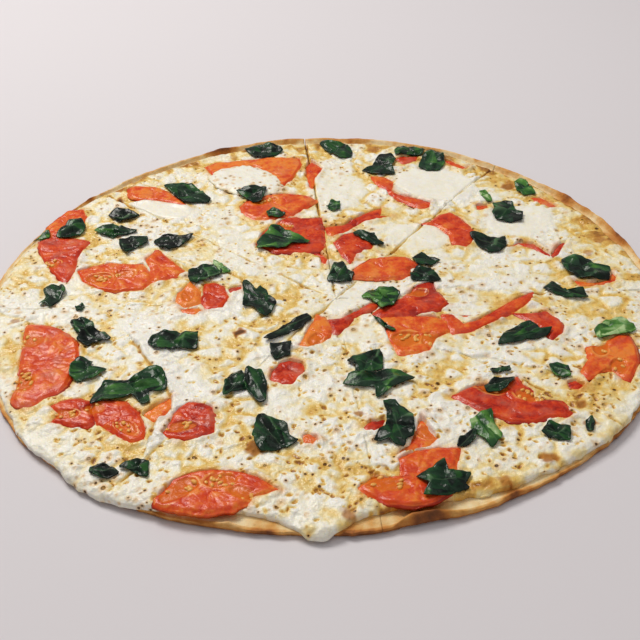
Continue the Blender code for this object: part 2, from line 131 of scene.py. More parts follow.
def hubTable(radiusAt):
    # distance from the hub to an outline that is given by its radius about the centre
    turns = np.arange(0, 360, 0.25)
    dx = np.cos(np.radians(turns))
    dy = np.sin(np.radians(turns))
    reach = np.full(len(turns), 200.0)
    for _ in range(12):
        x = pizza["hub"][0] + dx * reach
        y = pizza["hub"][1] + dy * reach
        reach += radiusAt(np.degrees(np.arctan2(y, x))) - np.hypot(x, y)
    return turns, reach


def reachTo(table, degrees):
    return np.interp(degrees, table[0], table[1], period=360)


cheeseEdge = hubTable(cheeseRadius)
rimEdge = hubTable(rimRadius)
bedEdge = hubTable(bedRadius)
print("outlines ready")


# colours and material nodes
def linear(hexColour):
    # sRGB hex to linear
    values = [int(hexColour[i:i + 2], 16) / 255 for i in (1, 3, 5)]
    return (*[v / 12.92 if v <= 0.04045 else ((v + 0.055) / 1.055) ** 2.4 for v in values], 1)


# settings that many nodes share
smooth = {"interpolation_type": "SMOOTHSTEP"}
times = {"operation": "MULTIPLY"}


def addNode(tree, kind, settings, output=0):
    # one node; a setting is a property, the value of an input or another node's output that feeds it
    node = tree.nodes.new(kind)
    for name, value in settings.items():
        if name == "stops":
            # the ramp's positions and hex colours
            for number, (position, colour) in enumerate(value):
                elements = node.color_ramp.elements
                element = elements[number] if number < 2 else elements.new(position)
                element.position = position
                element.color = linear(colour)
        elif isinstance(value, bpy.types.NodeSocket):
            tree.links.new(value, node.inputs[name])
        elif isinstance(name, str) and hasattr(node, name):
            setattr(node, name, value)
        else:
            node.inputs[name].default_value = value
    return node.outputs[output]


def newMaterial(name, constants):
    # constants are values of the shader's own sockets
    material = bpy.data.materials.new(name)
    material.use_nodes = True
    tree = material.node_tree
    shader = tree.nodes["Principled BSDF"]
    for socket, value in constants.items():
        shader.inputs[socket].default_value = value
    return material, tree, shader


def varied(tree, value, noise, amount):
    # a value moved up and down by a noise
    centred = addNode(tree, "ShaderNodeMath", {"operation": "SUBTRACT", 0: noise, 1: 0.5})
    swing = addNode(tree, "ShaderNodeMath", {"operation": "MULTIPLY", 0: centred, 1: amount})
    return addNode(tree, "ShaderNodeMath", {"operation": "ADD", 0: value, 1: swing})


def laidOver(tree, colour, layers):
    # colours over another: the value that brings each in, from where to where, its share, the colour
    for value, low, high, share, over in layers:
        amount = addNode(tree, "ShaderNodeMapRange", {**smooth, "Value": value, "From Min": low,
                                                      "From Max": high, "To Max": share})
        colour = addNode(tree, "ShaderNodeMix", {"data_type": "RGBA", 0: amount, 6: colour,
                                                 7: linear(over)}, 2)
    return colour


def perMetre(size):
    # pattern scale for features of that many mm
    return 1000 / size


def meltedCheese():
    # low moisture mozzarella, melted and baked: oily cream, with satin white crests and gold hollows that are
    # partly painted light and shade
    material, tree, shader = newMaterial("melted_mozzarella_baked", {
        "Subsurface Weight": 0.22, "Subsurface Radius": (1.0, 0.85, 0.55), "Subsurface Scale": 1.6 * mm,
        "IOR": 1.44})
    place = addNode(tree, "ShaderNodeTexCoord", {}, "Object")
    golden, brown, juice, fresh = [addNode(tree, "ShaderNodeAttribute", {"attribute_name": name}, "Fac")
                                   for name in ("golden", "brown", "juice", "fresh")]
    mottle = addNode(tree, "ShaderNodeTexNoise", {"Scale": perMetre(4.2), "Detail": 4.0, "Vector": place})
    level = varied(tree, golden, mottle, 0.5)
    colour = addNode(tree, "ShaderNodeValToRGB", {"Fac": level, "stops": (
        (0.0, "#FAF7EE"), (0.22, "#F6F0DC"), (0.38, "#F3E2AE"), (0.58, "#EBC66C"), (0.8, "#CB923C"),
        (1.0, "#8E5824"))})
    colour = laidOver(tree, colour, [(juice, 0, 1, 0.8, "#DC8038")])
    # toasted specks of two sizes, in drifts, each a small hole with a golden halo
    drifts = addNode(tree, "ShaderNodeTexNoise", {"Scale": perMetre(42), "Detail": 1.0, "Vector": place})
    crowded = addNode(tree, "ShaderNodeMapRange", {**smooth, "Value": drifts, "From Min": 0.40,
                                                   "From Max": 0.58, "To Min": 0.25})
    plain = addNode(tree, "ShaderNodeMapRange", {**smooth, "Value": fresh, "From Min": 0.3,
                                                 "From Max": 0.9, "To Min": 1, "To Max": 0.15})
    bare = addNode(tree, "ShaderNodeMath", {**times, 0: crowded, 1: plain})
    specks = 0
    for spacing, share in ((7.0, 0.15), (4.4, 0.26)):
        cells = addNode(tree, "ShaderNodeTexVoronoi", {"Scale": perMetre(spacing), "Vector": place}).node
        parts = addNode(tree, "ShaderNodeSeparateColor", {"Color": cells.outputs["Color"]}).node.outputs
        picked = addNode(tree, "ShaderNodeMath", {**times, 0: parts[0], 1: bare})
        chosen = addNode(tree, "ShaderNodeMapRange", {**smooth, "Value": picked, "From Min": share,
                                                      "From Max": share + 0.05})
        radius = addNode(tree, "ShaderNodeMath", {"operation": "MULTIPLY_ADD", 0: parts[1], 1: 0.1, 2: 0.075})
        away = addNode(tree, "ShaderNodeMath", {"operation": "DIVIDE", 0: cells.outputs["Distance"],
                                                1: radius})
        burnt = addNode(tree, "ShaderNodeMapRange", {**smooth, "Value": parts[2], "From Min": 0.1,
                                                     "From Max": 0.7, "To Min": 0.4})
        # the halo, then the hole itself
        for low, high, most, depth, over in ((0.7, 3.2, 0.66, 1, "#D9A444"), (0.6, 1.2, 1, burnt, "#603608")):
            shown = addNode(tree, "ShaderNodeMapRange", {**smooth, "Value": away, "From Min": low,
                                                         "From Max": high, "To Min": most, "To Max": 0})
            mark = addNode(tree, "ShaderNodeMath", {**times, 0: shown, 1: chosen})
            amount = addNode(tree, "ShaderNodeMath", {**times, 0: mark, 1: depth})
            colour = addNode(tree, "ShaderNodeMix", {"data_type": "RGBA", 0: amount, 6: colour,
                                                     7: linear(over)}, 2)
        specks = addNode(tree, "ShaderNodeMath", {"operation": "MAXIMUM", 0: mark, 1: specks})
    colour = laidOver(tree, colour, [(brown, 0.05, 0.75, 0.92, "#AC681A"),
                                     (brown, 0.7, 1.0, 0.85, "#3A1A06")])
    tree.links.new(colour, shader.inputs["Base Color"])
    # oil shines, toasted skin doesn't
    oiled = addNode(tree, "ShaderNodeMapRange", {**smooth, "Value": level, "From Min": 0.2, "From Max": 0.7,
                                                 "To Min": 0.36, "To Max": 0.26})
    toasted = addNode(tree, "ShaderNodeMapRange", {**smooth, "Value": brown, "From Min": 0.1, "From Max": 0.6,
                                                   "To Max": 0.55})
    gloss = addNode(tree, "ShaderNodeMath", {"operation": "ADD", 0: oiled, 1: toasted})
    tree.links.new(gloss, shader.inputs["Roughness"])
    # curd grain and small creases; flatter on the fresh rounds
    creases = addNode(tree, "ShaderNodeTexNoise", {"Scale": perMetre(3.6), "Detail": 3.0, "Roughness": 0.55,
                                                   "Vector": place})
    flatter = addNode(tree, "ShaderNodeMapRange", {**smooth, "Value": fresh, "To Min": 1, "To Max": 0.3})
    height = addNode(tree, "ShaderNodeMath", {**times, 0: creases, 1: flatter})
    holes = addNode(tree, "ShaderNodeMath", {**times, 0: specks, 1: 0.7})
    height = addNode(tree, "ShaderNodeMath", {"operation": "SUBTRACT", 0: height, 1: holes})
    bump = addNode(tree, "ShaderNodeBump", {"Strength": 1.0, "Distance": 1.3 * mm, "Height": height})
    tree.links.new(bump, shader.inputs["Normal"])
    return material


def bakedCrust():
    # thin wheat dough baked on a hot stone: dry and matt, tan with toasted blisters, small brown spots and a
    # bubbly grain
    material, tree, shader = newMaterial("wheat_crust_baked", {
        "Roughness": 0.74, "Subsurface Weight": 0.06, "Subsurface Scale": 1.5 * mm})
    place = addNode(tree, "ShaderNodeTexCoord", {}, "Object")
    toast = addNode(tree, "ShaderNodeAttribute", {"attribute_name": "toast"}, "Fac")
    mottle = addNode(tree, "ShaderNodeTexNoise", {"Scale": perMetre(9), "Detail": 6.0, "Roughness": 0.6,
                                                  "Vector": place})
    level = varied(tree, toast, mottle, 0.75)
    colour = addNode(tree, "ShaderNodeValToRGB", {"Fac": level, "stops": (
        (0.0, "#F5E2B8"), (0.22, "#EDCB90"), (0.42, "#DCA254"), (0.62, "#C27A2E"), (0.82, "#8C4E18"),
        (1.0, "#482810"))})
    bubbles = addNode(tree, "ShaderNodeTexVoronoi", {"Scale": perMetre(3.2), "Vector": place}, "Distance")
    dots = addNode(tree, "ShaderNodeMapRange", {**smooth, "Value": bubbles, "From Max": 0.34,
                                                "To Min": 0.5, "To Max": 0})
    drifts = addNode(tree, "ShaderNodeMapRange", {**smooth, "Value": mottle, "From Min": 0.5,
                                                  "From Max": 0.66})
    spots = addNode(tree, "ShaderNodeMath", {**times, 0: dots, 1: drifts})
    colour = addNode(tree, "ShaderNodeMix", {"data_type": "RGBA", 0: spots, 6: colour,
                                             7: linear("#94561E")}, 2)
    tree.links.new(colour, shader.inputs["Base Color"])
    grain = addNode(tree, "ShaderNodeTexNoise", {"Scale": perMetre(2.2), "Detail": 6.0, "Roughness": 0.7,
                                                 "Vector": place})
    height = addNode(tree, "ShaderNodeMath", {"operation": "MULTIPLY_ADD", 0: bubbles, 1: 0.5, 2: grain})
    bump = addNode(tree, "ShaderNodeBump", {"Strength": 0.9, "Distance": 0.7 * mm, "Height": height})
    tree.links.new(bump, shader.inputs["Normal"])
    return material


def bakedTomato():
    # ripe tomato, sliced and oven dried: wet coral flesh, taut red skin, amber jelly round the seeds
    material, tree, shader = newMaterial("tomato_flesh_roasted", {
        "Roughness": 0.24, "Specular IOR Level": 0.32, "Subsurface Weight": 0.12,
        "Subsurface Radius": (1.0, 0.25, 0.06), "Subsurface Scale": 1.5 * mm})
    place = addNode(tree, "ShaderNodeTexCoord", {}, "Object")
    orange, skin, rim, wet, strand, seed, film = [
        addNode(tree, "ShaderNodeAttribute", {"attribute_name": name}, "Fac")
        for name in ("orange", "skin", "rim", "jelly", "strand", "seed", "film")]
    fibres = addNode(tree, "ShaderNodeTexNoise", {"Scale": perMetre(6.5), "Detail": 4.0, "Roughness": 0.55,
                                                  "Vector": place})
    flecks = addNode(tree, "ShaderNodeTexNoise", {"Scale": perMetre(2.2), "Detail": 4.0, "Roughness": 0.6,
                                                  "Distortion": 0.6, "Vector": place})
    level = varied(tree, varied(tree, orange, fibres, 1.2), flecks, 0.9)
    colour = addNode(tree, "ShaderNodeValToRGB", {"Fac": level, "stops": (
        (0.0, "#A01C0C"), (0.25, "#C63012"), (0.5, "#DA481C"), (0.75, "#E66222"), (1.0, "#F08632"))})
    cloud = addNode(tree, "ShaderNodeTexNoise", {"Scale": perMetre(10), "Detail": 3.0, "Vector": place})
    cloudy = addNode(tree, "ShaderNodeMapRange", {**smooth, "Value": cloud, "From Min": 0.48,
                                                  "From Max": 0.68, "To Max": 0.8})
    veil = addNode(tree, "ShaderNodeMath", {**times, 0: cloudy, 1: film})
    colour = addNode(tree, "ShaderNodeMix", {"data_type": "RGBA", 0: veil, 6: colour,
                                             7: linear("#D0705A")}, 2)
    colour = laidOver(tree, colour, [
        (wet, 0.2, 0.9, 0.8, "#DA6A10"), (strand, 0.2, 1.0, 0.75, "#F2A050"), (rim, 0.2, 0.9, 0.7, "#DC4410"),
        (skin, 0.3, 0.9, 0.85, "#9E1C08"), (seed, 0.1, 0.9, 0.85, "#F8BE62")])
    tree.links.new(colour, shader.inputs["Base Color"])
    height = addNode(tree, "ShaderNodeMath", {"operation": "ADD", 0: fibres, 1: flecks})
    bump = addNode(tree, "ShaderNodeBump", {"Strength": 0.8, "Distance": 0.35 * mm, "Height": height})
    tree.links.new(bump, shader.inputs["Normal"])
    return material


def wiltedBasil():
    # sweet basil wilted in the oven: near black green with a waxy glint on its folds, paler veins, and a
    # painted glint along its ridges
    material, tree, shader = newMaterial("basil_leaf_wilted", {
        "Roughness": 0.27, "Specular IOR Level": 0.25, "Subsurface Weight": 0.04,
        "Subsurface Scale": 1.0 * mm})
    place = addNode(tree, "ShaderNodeTexCoord", {}, "Object")
    bright, veinAndGlint = [addNode(tree, "ShaderNodeAttribute", {"attribute_name": name}, "Fac")
                    for name in ("bright", "veinAndGlint")]
    mottle = addNode(tree, "ShaderNodeTexNoise", {"Scale": perMetre(5), "Detail": 4.0, "Vector": place})
    colour = addNode(tree, "ShaderNodeValToRGB", {"Fac": varied(tree, bright, mottle, 0.35), "stops": (
        (0.0, "#0A0F0D"), (0.22, "#0D1E15"), (0.45, "#153A21"), (0.65, "#2C5C26"), (0.82, "#578A3A"),
        (1.0, "#AFC890"))})
    # paler veins, and the painted glint along the ridges
    colour = laidOver(tree, colour, [(veinAndGlint, 0.2, 1.0, 0.45, "#7FA878")])
    tree.links.new(colour, shader.inputs["Base Color"])
    wrinkles = addNode(tree, "ShaderNodeTexNoise", {"Scale": perMetre(2.4), "Detail": 2.0, "Vector": place})
    bump = addNode(tree, "ShaderNodeBump", {"Strength": 0.6, "Distance": 0.4 * mm, "Height": wrinkles})
    tree.links.new(bump, shader.inputs["Normal"])
    return material


cheeseLook = meltedCheese()
crustLook = bakedCrust()
tomatoLook = bakedTomato()
basilLook = wiltedBasil()
print("materials ready")


def pairsOf(outline):
    # corners from a row of x and y in mm
    numbers = [float(word) for word in outline.split()]
    return list(zip(numbers[::2], numbers[1::2]))


def rowsOf(rows):
    # one piece a row: its name, its node, its settings and its outline; an indented line goes on with a row
    pieces = {}
    for row in rows.strip().replace("\n ", " ").split("\n"):
        words, outline = row.split(":")
        name, node, *values = words.split()
        pieces[name] = (node, *[float(value) for value in values], pairsOf(outline))
    return pieces


# every piece of tomato: its node, how orange it is, how much cheese oil clouds it, how many seeds show,
# how far cheese laps over it, from where to where in degrees its border has skin, and its outline
tomatoes = rowsOf("""
tomato_01 tomato_slice_01 0.85 0.35 0 0.3 0 360: -69 131 -50 118 -24 121 -16 136 -10 156 -12 166 -31 169
 -46 166 -59 163 -73 163 -81 156
tomato_02 tomato_slice_02 0.75 0.3 0 0.3 190 350: -130 114 -123 109 -108 107 -95 100 -87 98 -91 104
 -96 111 -103 120 -113 128 -128 130 -133 126
tomato_03 tomato_slice_03 0.72 0.0 0 0.2 80 210: -176 65 -172 63 -163 66 -156 75 -155 88 -159 100 -170 98
 -175 88 -180 77
tomato_04 tomato_slice_04 0.34 0.7 7 0.25 140 300: -181 52 -176 39 -167 23 -159 11 -154 8 -151 20 -152 32
 -151 44 -147 54 -150 59 -163 62 -176 64 -182 59
tomato_05 tomato_slice_05 0.68 0.1 12 0.1 150 340: -145 9 -134 0 -124 -3 -107 -1 -102 7 -104 17 -110 28
 -118 28 -131 31 -143 26 -151 22
tomato_06 tomato_slice_06 0.6 0.1 0 0.2 0 0: -105 20 -102 6 -95 8 -88 11 -83 18 -96 36 -103 45 -109 32
tomato_07 tomato_slice_07 0.95 0.0 0 0.15 0 0: -86 -15 -80 -22 -71 -18 -71 -5 -79 8 -82 1 -86 -7
tomato_08 tomato_slice_07 0.28 0.3 0 0.3 270 420: -71 -5 -71 -18 -67 -25 -58 -23 -54 -12 -58 0 -63 5
 -71 4
tomato_09 tomato_slice_08 0.7 0.3 6 0.3 0 0: -52 88 -43 79 -28 77 -16 81 -10 90 0 101 -5 109 -22 114
 -36 112 -47 107 -53 96
tomato_10 tomato_slice_09 0.3 0.4 10 0.25 185 330: -34 40 -27 35 -15 35 -12 34 2 36 4 41 3 68 2 79 -12 79
 -12 81 -21 80 -32 70 -38 58 -40 46
tomato_11 tomato_slice_10 0.36 0.2 0 0.2 0 0: 11 38 15 28 19 19 24 34 33 38 34 46 23 59 16 57 9 46
tomato_12 tomato_slice_11 0.5 0.3 0 0.35 190 300: 39 125 45 115 54 99 64 90 75 85 78 95 67 102 56 107
 52 113 54 125 49 133 38 135
tomato_13 tomato_slice_12 0.52 0.15 0 0.15 0 0: 76 62 84 51 84 39 93 36 97 42 101 47 101 54 94 72 88 80
 80 76 73 68 66 65
tomato_14 tomato_slice_13 0.66 0.2 0 0.2 30 160: 22 3 30 1 46 1 55 3 55 12 63 15 54 25 45 26 32 24 22 15
 17 1
tomato_15 tomato_slice_14 0.2 0.3 0 0.2 300 400: 31 -39 41 -38 55 -37 69 -33 75 -26 69 -12 68 -2 58 -5
 49 -18 39 -24 29 -34
tomato_16 tomato_slice_15 0.78 0.0 14 0.1 0 0: 37 -58 41 -73 52 -74 59 -71 64 -59 73 -53 73 -43 64 -38
 53 -37 41 -37 34 -39
tomato_17 tomato_slice_16 0.5 0.2 0 0.2 230 330: 69 -48 73 -57 85 -54 99 -45 110 -37 122 -27 127 -15
 118 -19 105 -30 91 -41 81 -46 75 -37 68 -35
tomato_18 tomato_slice_17 0.95 0.1 0 0.15 0 0: -8 -65 -1 -61 5 -56 7 -47 3 -36 -3 -32 -5 -40 -9 -51
 -13 -62
tomato_19 tomato_slice_17 0.3 0.8 0 0.4 0 0: 6 -53 9 -55 15 -45 19 -37 29 -33 34 -26 30 -22 19 -31 10 -38
 3 -37
tomato_20 tomato_slice_18 0.24 0.4 0 0.2 290 450: 115 -44 120 -50 125 -56 125 -64 128 -65 135 -57 137 -51
 135 -44 129 -36 120 -38 109 -37
tomato_21 tomato_slice_19 0.7 0.3 9 0.1 280 440: 143 -84 137 -93 139 -103 147 -94 154 -93 157 -99
 161 -103 165 -96 170 -87 172 -74 171 -63 166 -61 162 -64 154 -70 145 -72
tomato_22 tomato_slice_20 0.26 0.5 16 0.2 200 340: 70 -114 79 -123 87 -128 94 -132 105 -133 112 -130
 122 -130 126 -127 122 -115 115 -115 109 -112 109 -107 105 -102 103 -95 95 -101 86 -100 75 -103 66 -110
tomato_23 tomato_slice_21 0.66 0.1 8 0.05 180 330: 19 -181 27 -186 39 -188 49 -186 58 -180 62 -165
 66 -149 55 -149 44 -150 35 -156 36 -169 23 -166 14 -175
tomato_24 tomato_slice_22 0.62 0.1 20 0.05 20 210: -71 -186 -57 -189 -43 -187 -37 -183 -34 -178 -29 -177
 -22 -174 -33 -165 -42 -161 -55 -159 -65 -161 -73 -166 -81 -178 -80 -183
tomato_25 tomato_slice_23 0.32 0.7 8 0.25 150 300: -79 -136 -70 -138 -62 -137 -55 -133 -55 -125 -57 -113
 -62 -110 -70 -108 -76 -113 -79 -124 -82 -133
tomato_26 tomato_slice_24 0.28 0.2 8 0.3 0 0: -138 -114 -140 -121 -131 -124 -120 -126 -116 -124 -119 -114
 -122 -105 -129 -102 -137 -104 -143 -108
tomato_27 tomato_slice_24 0.5 0.1 8 0.2 290 430: -120 -114 -116 -124 -108 -129 -103 -134 -97 -139
 -90 -137 -90 -128 -95 -115 -103 -106 -112 -104 -122 -105
tomato_28 tomato_slice_25 0.6 0.8 22 0.05 270 430: -168 -53 -165 -77 -163 -93 -165 -100 -161 -108
 -151 -108 -147 -103 -139 -98 -136 -93 -135 -79 -134 -66 -137 -54 -145 -44 -158 -36 -170 -35
scrap_01 cheese 0.5 0.2 0 0.3 0 0: -6 123 -3 117 -1 135 6 150 -3 163 -8 154
scrap_02 cheese 0.3 0.2 0 0.3 0 0: 5 56 9 54 19 60 27 69 35 74 52 80 42 81 44 93 30 84 17 71 3 68
scrap_03 cheese 0.4 0.6 0 0.5 0 0: 62 152 72 156 74 165 63 167 56 161
scrap_04 cheese 0.5 0.5 0 0.4 0 0: 95 146 104 140 110 144 98 156 91 159
scrap_05 cheese 0.6 0.6 0 0.4 0 0: 106 83 114 84 115 91 106 90
scrap_06 cheese 0.2 0.6 0 0.2 0 0: 126 37 133 33 143 20 145 26 136 39 127 42 116 33
scrap_07 cheese 0.2 0.6 0 0.2 0 0: 144 19 149 24 157 40 153 40 143 24
scrap_08 cheese 0.75 0.2 0 0.2 0 0: 154 -11 169 -11 177 -8 179 -2 177 4 172 -4 162 -6 150 -3
scrap_09 cheese 0.25 1.0 0 0.5 0 0: -29 -92 -22 -96 -16 -96 -9 -87 -10 -76 -18 -74 -25 -75 -28 -83
scrap_10 cheese 0.72 0.2 0 0.2 0 0: 36 -148 34 -153 45 -149 51 -148 57 -141 53 -134 49 -124 46 -131
 41 -145
scrap_11 cheese 0.25 1.0 0 0.4 0 0: 20 -136 25 -137 29 -132 32 -125 23 -126 18 -132
scrap_12 cheese 0.85 0.2 0 0.2 0 0: -11 -142 -6 -144 -4 -141 -8 -135 -12 -137
scrap_13 cheese 0.25 0.8 0 0.4 0 0: 128 -106 133 -107 137 -103 133 -98 127 -101
scrap_14 cheese 0.3 0.3 0 0.3 0 0: -8 34 0 30 1 23 4 21 6 28 0 38 -9 36
scrap_15 cheese 0.3 1.0 0 0.4 0 0: -54 -9 -46 -5 -47 1 -56 -1
scrap_16 cheese 0.9 0.0 0 0.2 0 0: -87 -124 -82 -121 -78 -112 -80 -103 -88 -109 -94 -116
scrap_17 cheese 0.6 0.7 0 0.5 0 0: 147 91 156 84 161 86 152 99 143 101
scrap_18 cheese 0.8 0.5 0 0.6 0 0: -81 -27 -73 -29 -68 -25 -71 -20 -85 -21
scrap_19 cheese 0.8 0.2 0 0.3 0 0: -9 -141 -3 -142 -4 -138 -8 -134 -12 -136
""")
jelly = ((-135, 12, 16, 10, 15), (-120, 16, 14, 9, 0), (-163, -51, 14, 15, 0), (-160, -88, 12, 17, 10),
         (-71, -173, 22, 14, 35), (-50, -168, 16, 10, 0), (-40, -176, 14, 8, -20), (27, -172, 24, 12, -20),
         (47, -60, 18, 14, 20), (60, -60, 14, 10, 60), (88, -105, 18, 10, -20), (106, -112, 16, 9, -20),
         (152, -74, 14, 9, 70), (158, -90, 14, 9, 70), (-118, -112, 12, 9, 0), (-100, -128, 14, 8, -40),
         (-134, -116, 16, 7, 0), (-72, -128, 16, 8, 10), (-25, 68, 20, 11, -20), (-36, 102, 18, 9, 20),
         (-168, 30, 12, 10, 0), (57, -15, 12, 8, 0), (-79, -9, 15, 8, 95), (-4, -58, 12, 8, 57),
         (-48, 150, 20, 10, 10), (51, -137, 12, 9, -28))
mozzarellaRound = pairsOf("-73 130 -66 121 -53 113 -37 111 -29 115 -24 125 "
                          "-31 139 -40 149 -51 155 -62 153 -72 147 -76 137")

# every piece of basil: its node, which way its pleats run, how bright it is, and its outline
basilPieces = rowsOf("""
basil_01 basil_leaf_01 20 0.3: -50 177 -45 169 -38 166 -31 171 -24 178 -27 186 -34 190 -45 189 -53 182
basil_02 basil_leaf_02 -50 0.45: 7 178 12 171 18 163 26 165 27 175 22 187 14 189 6 194 3 188
basil_03 basil_leaf_03 -100 0.55: 78 138 87 138 92 149 93 170 85 176 78 164 73 146
basil_04 basil_leaf_04 50 0.3: 45 136 56 137 54 149 58 159 55 169 46 166 40 150 32 143
basil_05 basil_leaf_05 -35 0.4: -104 122 -100 117 -97 111 -91 103 -86 102 -74 104 -73 110 -77 113 -79 118
 -83 124 -88 131 -99 131 -108 131
basil_06 basil_leaf_06 -25 0.6: -39 39 -29 39 -21 39 -16 44 -5 45 -13 54 -21 59 -25 66 -30 67 -34 57
 -39 48
basil_07 basil_leaf_07 20 0.66: 30 -21 33 -25 35 -33 43 -27 47 -15 43 -9 36 -8 29 -11 24 -18
basil_08 basil_leaf_08 60 0.35: 118 82 115 76 116 68 125 63 133 64 135 74 131 78 131 88 126 92 117 88
basil_09 basil_leaf_09 -20 0.42: 148 10 150 3 155 -3 163 -6 173 -6 177 8 169 10 165 15 158 21 149 17
basil_10 basil_leaf_10 -30 0.38: 138 -20 145 -24 156 -26 155 -14 148 -18 141 -13 139 -6 132 -13
basil_11 basil_leaf_11 15 0.85: 153 -65 168 -63 176 -57 171 -46 162 -47 152 -58
basil_12 basil_leaf_12 22 0.42: 105 -67 114 -64 124 -63 130 -55 123 -57 118 -48 110 -51 103 -56 96 -68
basil_13 basil_leaf_13 20 0.35: 85 -109 92 -109 96 -106 102 -97 90 -98 84 -104
basil_14 basil_leaf_14 110 0.75: 73 -139 78 -144 81 -150 85 -146 88 -141 85 -133 85 -124 79 -125 73 -131
basil_14b basil_leaf_14 50 0.25: 69 -149 73 -146 75 -141 74 -138 67 -142 64 -149
basil_15 basil_leaf_15 8 0.4: 45 -172 48 -176 44 -183 52 -183 58 -181 67 -177 65 -174 69 -168 64 -167
 58 -167 57 -160 51 -165 42 -170
basil_16 basil_leaf_16 100 0.36: 32 -124 31 -132 27 -136 24 -143 28 -144 32 -143 34 -147 39 -149 40 -143
 44 -140 45 -134 45 -126 42 -122 39 -118 37 -113 30 -113
basil_17 basil_leaf_17 -20 0.42: 18 -82 17 -92 22 -94 28 -92 27 -88 32 -87 33 -76 31 -69 25 -71 17 -73
 13 -79
basil_17b basil_leaf_17 10 0.5: 18 -101 27 -102 27 -110 31 -109 36 -102 41 -100 49 -96 41 -89 34 -87
 28 -91 22 -94 15 -91 10 -99
basil_18 basil_leaf_18 -60 0.38: -35 -141 -32 -149 -26 -148 -19 -145 -13 -142 -18 -136 -19 -129 -23 -126
 -28 -123 -31 -119 -34 -120 -35 -127 -36 -137
basil_19 basil_leaf_19 60 0.36: -48 -103 -41 -100 -40 -91 -44 -84 -49 -87 -52 -92 -53 -105
basil_19b basil_leaf_19 -70 0.42: -42 -89 -41 -100 -33 -112 -30 -110 -30 -94 -33 -85 -41 -81
basil_20 basil_leaf_20 40 0.18: -28 -58 -20 -52 -11 -47 -5 -39 -8 -33 -20 -42 -33 -56
basil_20b basil_leaf_20 80 0.3: -28 -70 -26 -76 -18 -72 -17 -60 -29 -61
basil_21 basil_leaf_21 40 0.35: -49 106 -44 100 -38 101 -36 108 -35 118 -43 121 -47 118 -56 116
basil_22 basil_leaf_22 -60 0.34: -46 -6 -45 -13 -46 -22 -40 -23 -36 -31 -32 -35 -28 -28 -26 -20 -31 -12
 -32 -6 -37 0 -37 -5 -41 -5 -42 4 -47 3
basil_23 basil_leaf_23 45 0.5: -167 61 -161 62 -154 69 -154 77 -158 85 -165 80 -168 73 -171 62
basil_24 basil_leaf_24 20 0.4: -142 -39 -139 -45 -132 -46 -130 -40 -132 -33 -139 -30 -145 -33
basil_24b basil_leaf_24 -40 0.12: -131 -59 -128 -54 -118 -53 -123 -45 -129 -42 -134 -41 -138 -51
basil_25 basil_leaf_25 20 0.46: -120 -109 -116 -107 -109 -107 -101 -102 -98 -104 -95 -110 -90 -109
 -92 -102 -91 -98 -87 -100 -83 -98 -83 -91 -87 -81 -94 -80 -98 -85 -103 -89 -109 -89 -116 -90 -120 -99
 -122 -109
scrap_b01 cheese 20 0.5: 58 165 64 166 77 165 81 177 74 181 66 182 58 174
scrap_b02 cheese 5 0.4: -92 -64 -80 -64 -69 -63 -70 -48 -79 -50 -82 -46 -88 -47 -95 -51 -97 -58
scrap_b03 cheese -30 0.42: 28 47 35 41 43 41 37 48 36 56 29 59 22 55
scrap_b04 cheese 70 0.38: 8 0 13 -1 19 0 21 8 17 13 15 22 9 20 7 11 4 1
scrap_b05 cheese -30 0.33: 55 -1 61 -3 66 -5 73 -2 70 5 68 12 60 13 55 6
scrap_b06 cheese -15 0.3: 60 16 68 15 75 20 64 29 58 24
scrap_b07 cheese -30 0.32: 99 41 102 35 106 28 113 29 118 35 119 46 110 47 104 51 96 49
scrap_b08 cheese 25 0.38: -79 6 -74 1 -68 6 -61 9 -60 16 -66 23 -74 22 -81 16
scrap_b09 cheese -40 0.85: -60 14 -54 15 -60 23 -66 30 -66 22
scrap_b10 cheese 10 0.16: -101 45 -95 43 -86 50 -81 61 -91 61 -101 61 -106 53
scrap_b11 cheese 40 0.2: -128 52 -126 46 -122 40 -117 47 -110 52 -111 60 -122 60 -129 57
scrap_b12 cheese -15 0.14: -137 85 -133 81 -126 83 -119 89 -129 97 -137 99 -141 91
scrap_b13 cheese -5 0.5: -141 64 -134 61 -127 63 -117 68 -128 71 -136 77 -142 76 -147 69
scrap_b14 cheese -50 0.4: -164 -6 -167 -15 -163 -14 -159 -19 -155 -10 -153 -2 -155 3 -164 7 -168 3
scrap_b15 cheese 5 0.5: -136 -85 -132 -89 -126 -88 -121 -85 -117 -78 -128 -76 -125 -73 -132 -69 -135 -71
 -137 -79
scrap_b16 cheese 0 0.33: -108 -163 -104 -163 -99 -160 -104 -156 -108 -153 -114 -155 -114 -159
scrap_b17 cheese 30 0.42: -93 -159 -89 -162 -85 -163 -86 -152 -92 -150 -97 -153 -100 -157
scrap_b18 cheese -30 0.42: 110 -144 114 -146 120 -148 122 -137 116 -135 112 -133 107 -141
scrap_b19 cheese -45 0.55: 122 -94 126 -100 131 -97 131 -89 126 -86 121 -87
scrap_b20 cheese -50 0.7: 137 109 140 100 149 101 147 111 144 124 137 119
scrap_b21 cheese -60 0.8: 114 91 118 93 116 109 111 106
scrap_b22 cheese 20 0.6: 10 87 15 88 15 97 9 99 6 92
scrap_b23 cheese 75 0.3: 130 -139 133 -140 135 -134 135 -128 131 -133
scrap_b24 cheese 10 0.2: 90 -93 100 -92 100 -87 96 -89 89 -90
scrap_b25 cheese 30 0.75: -180 60 -175 61 -176 69 -182 73 -183 67 -186 62
scrap_b26 cheese -20 0.5: -33 80 -25 78 -21 83 -30 91 -34 86
scrap_b27 cheese -35 0.5: 34 -48 40 -54 42 -52 36 -46 31 -40 29 -39
scrap_b28 cheese 30 0.4: -143 -22 -140 -23 -139 -18 -141 -15 -144 -19
""")

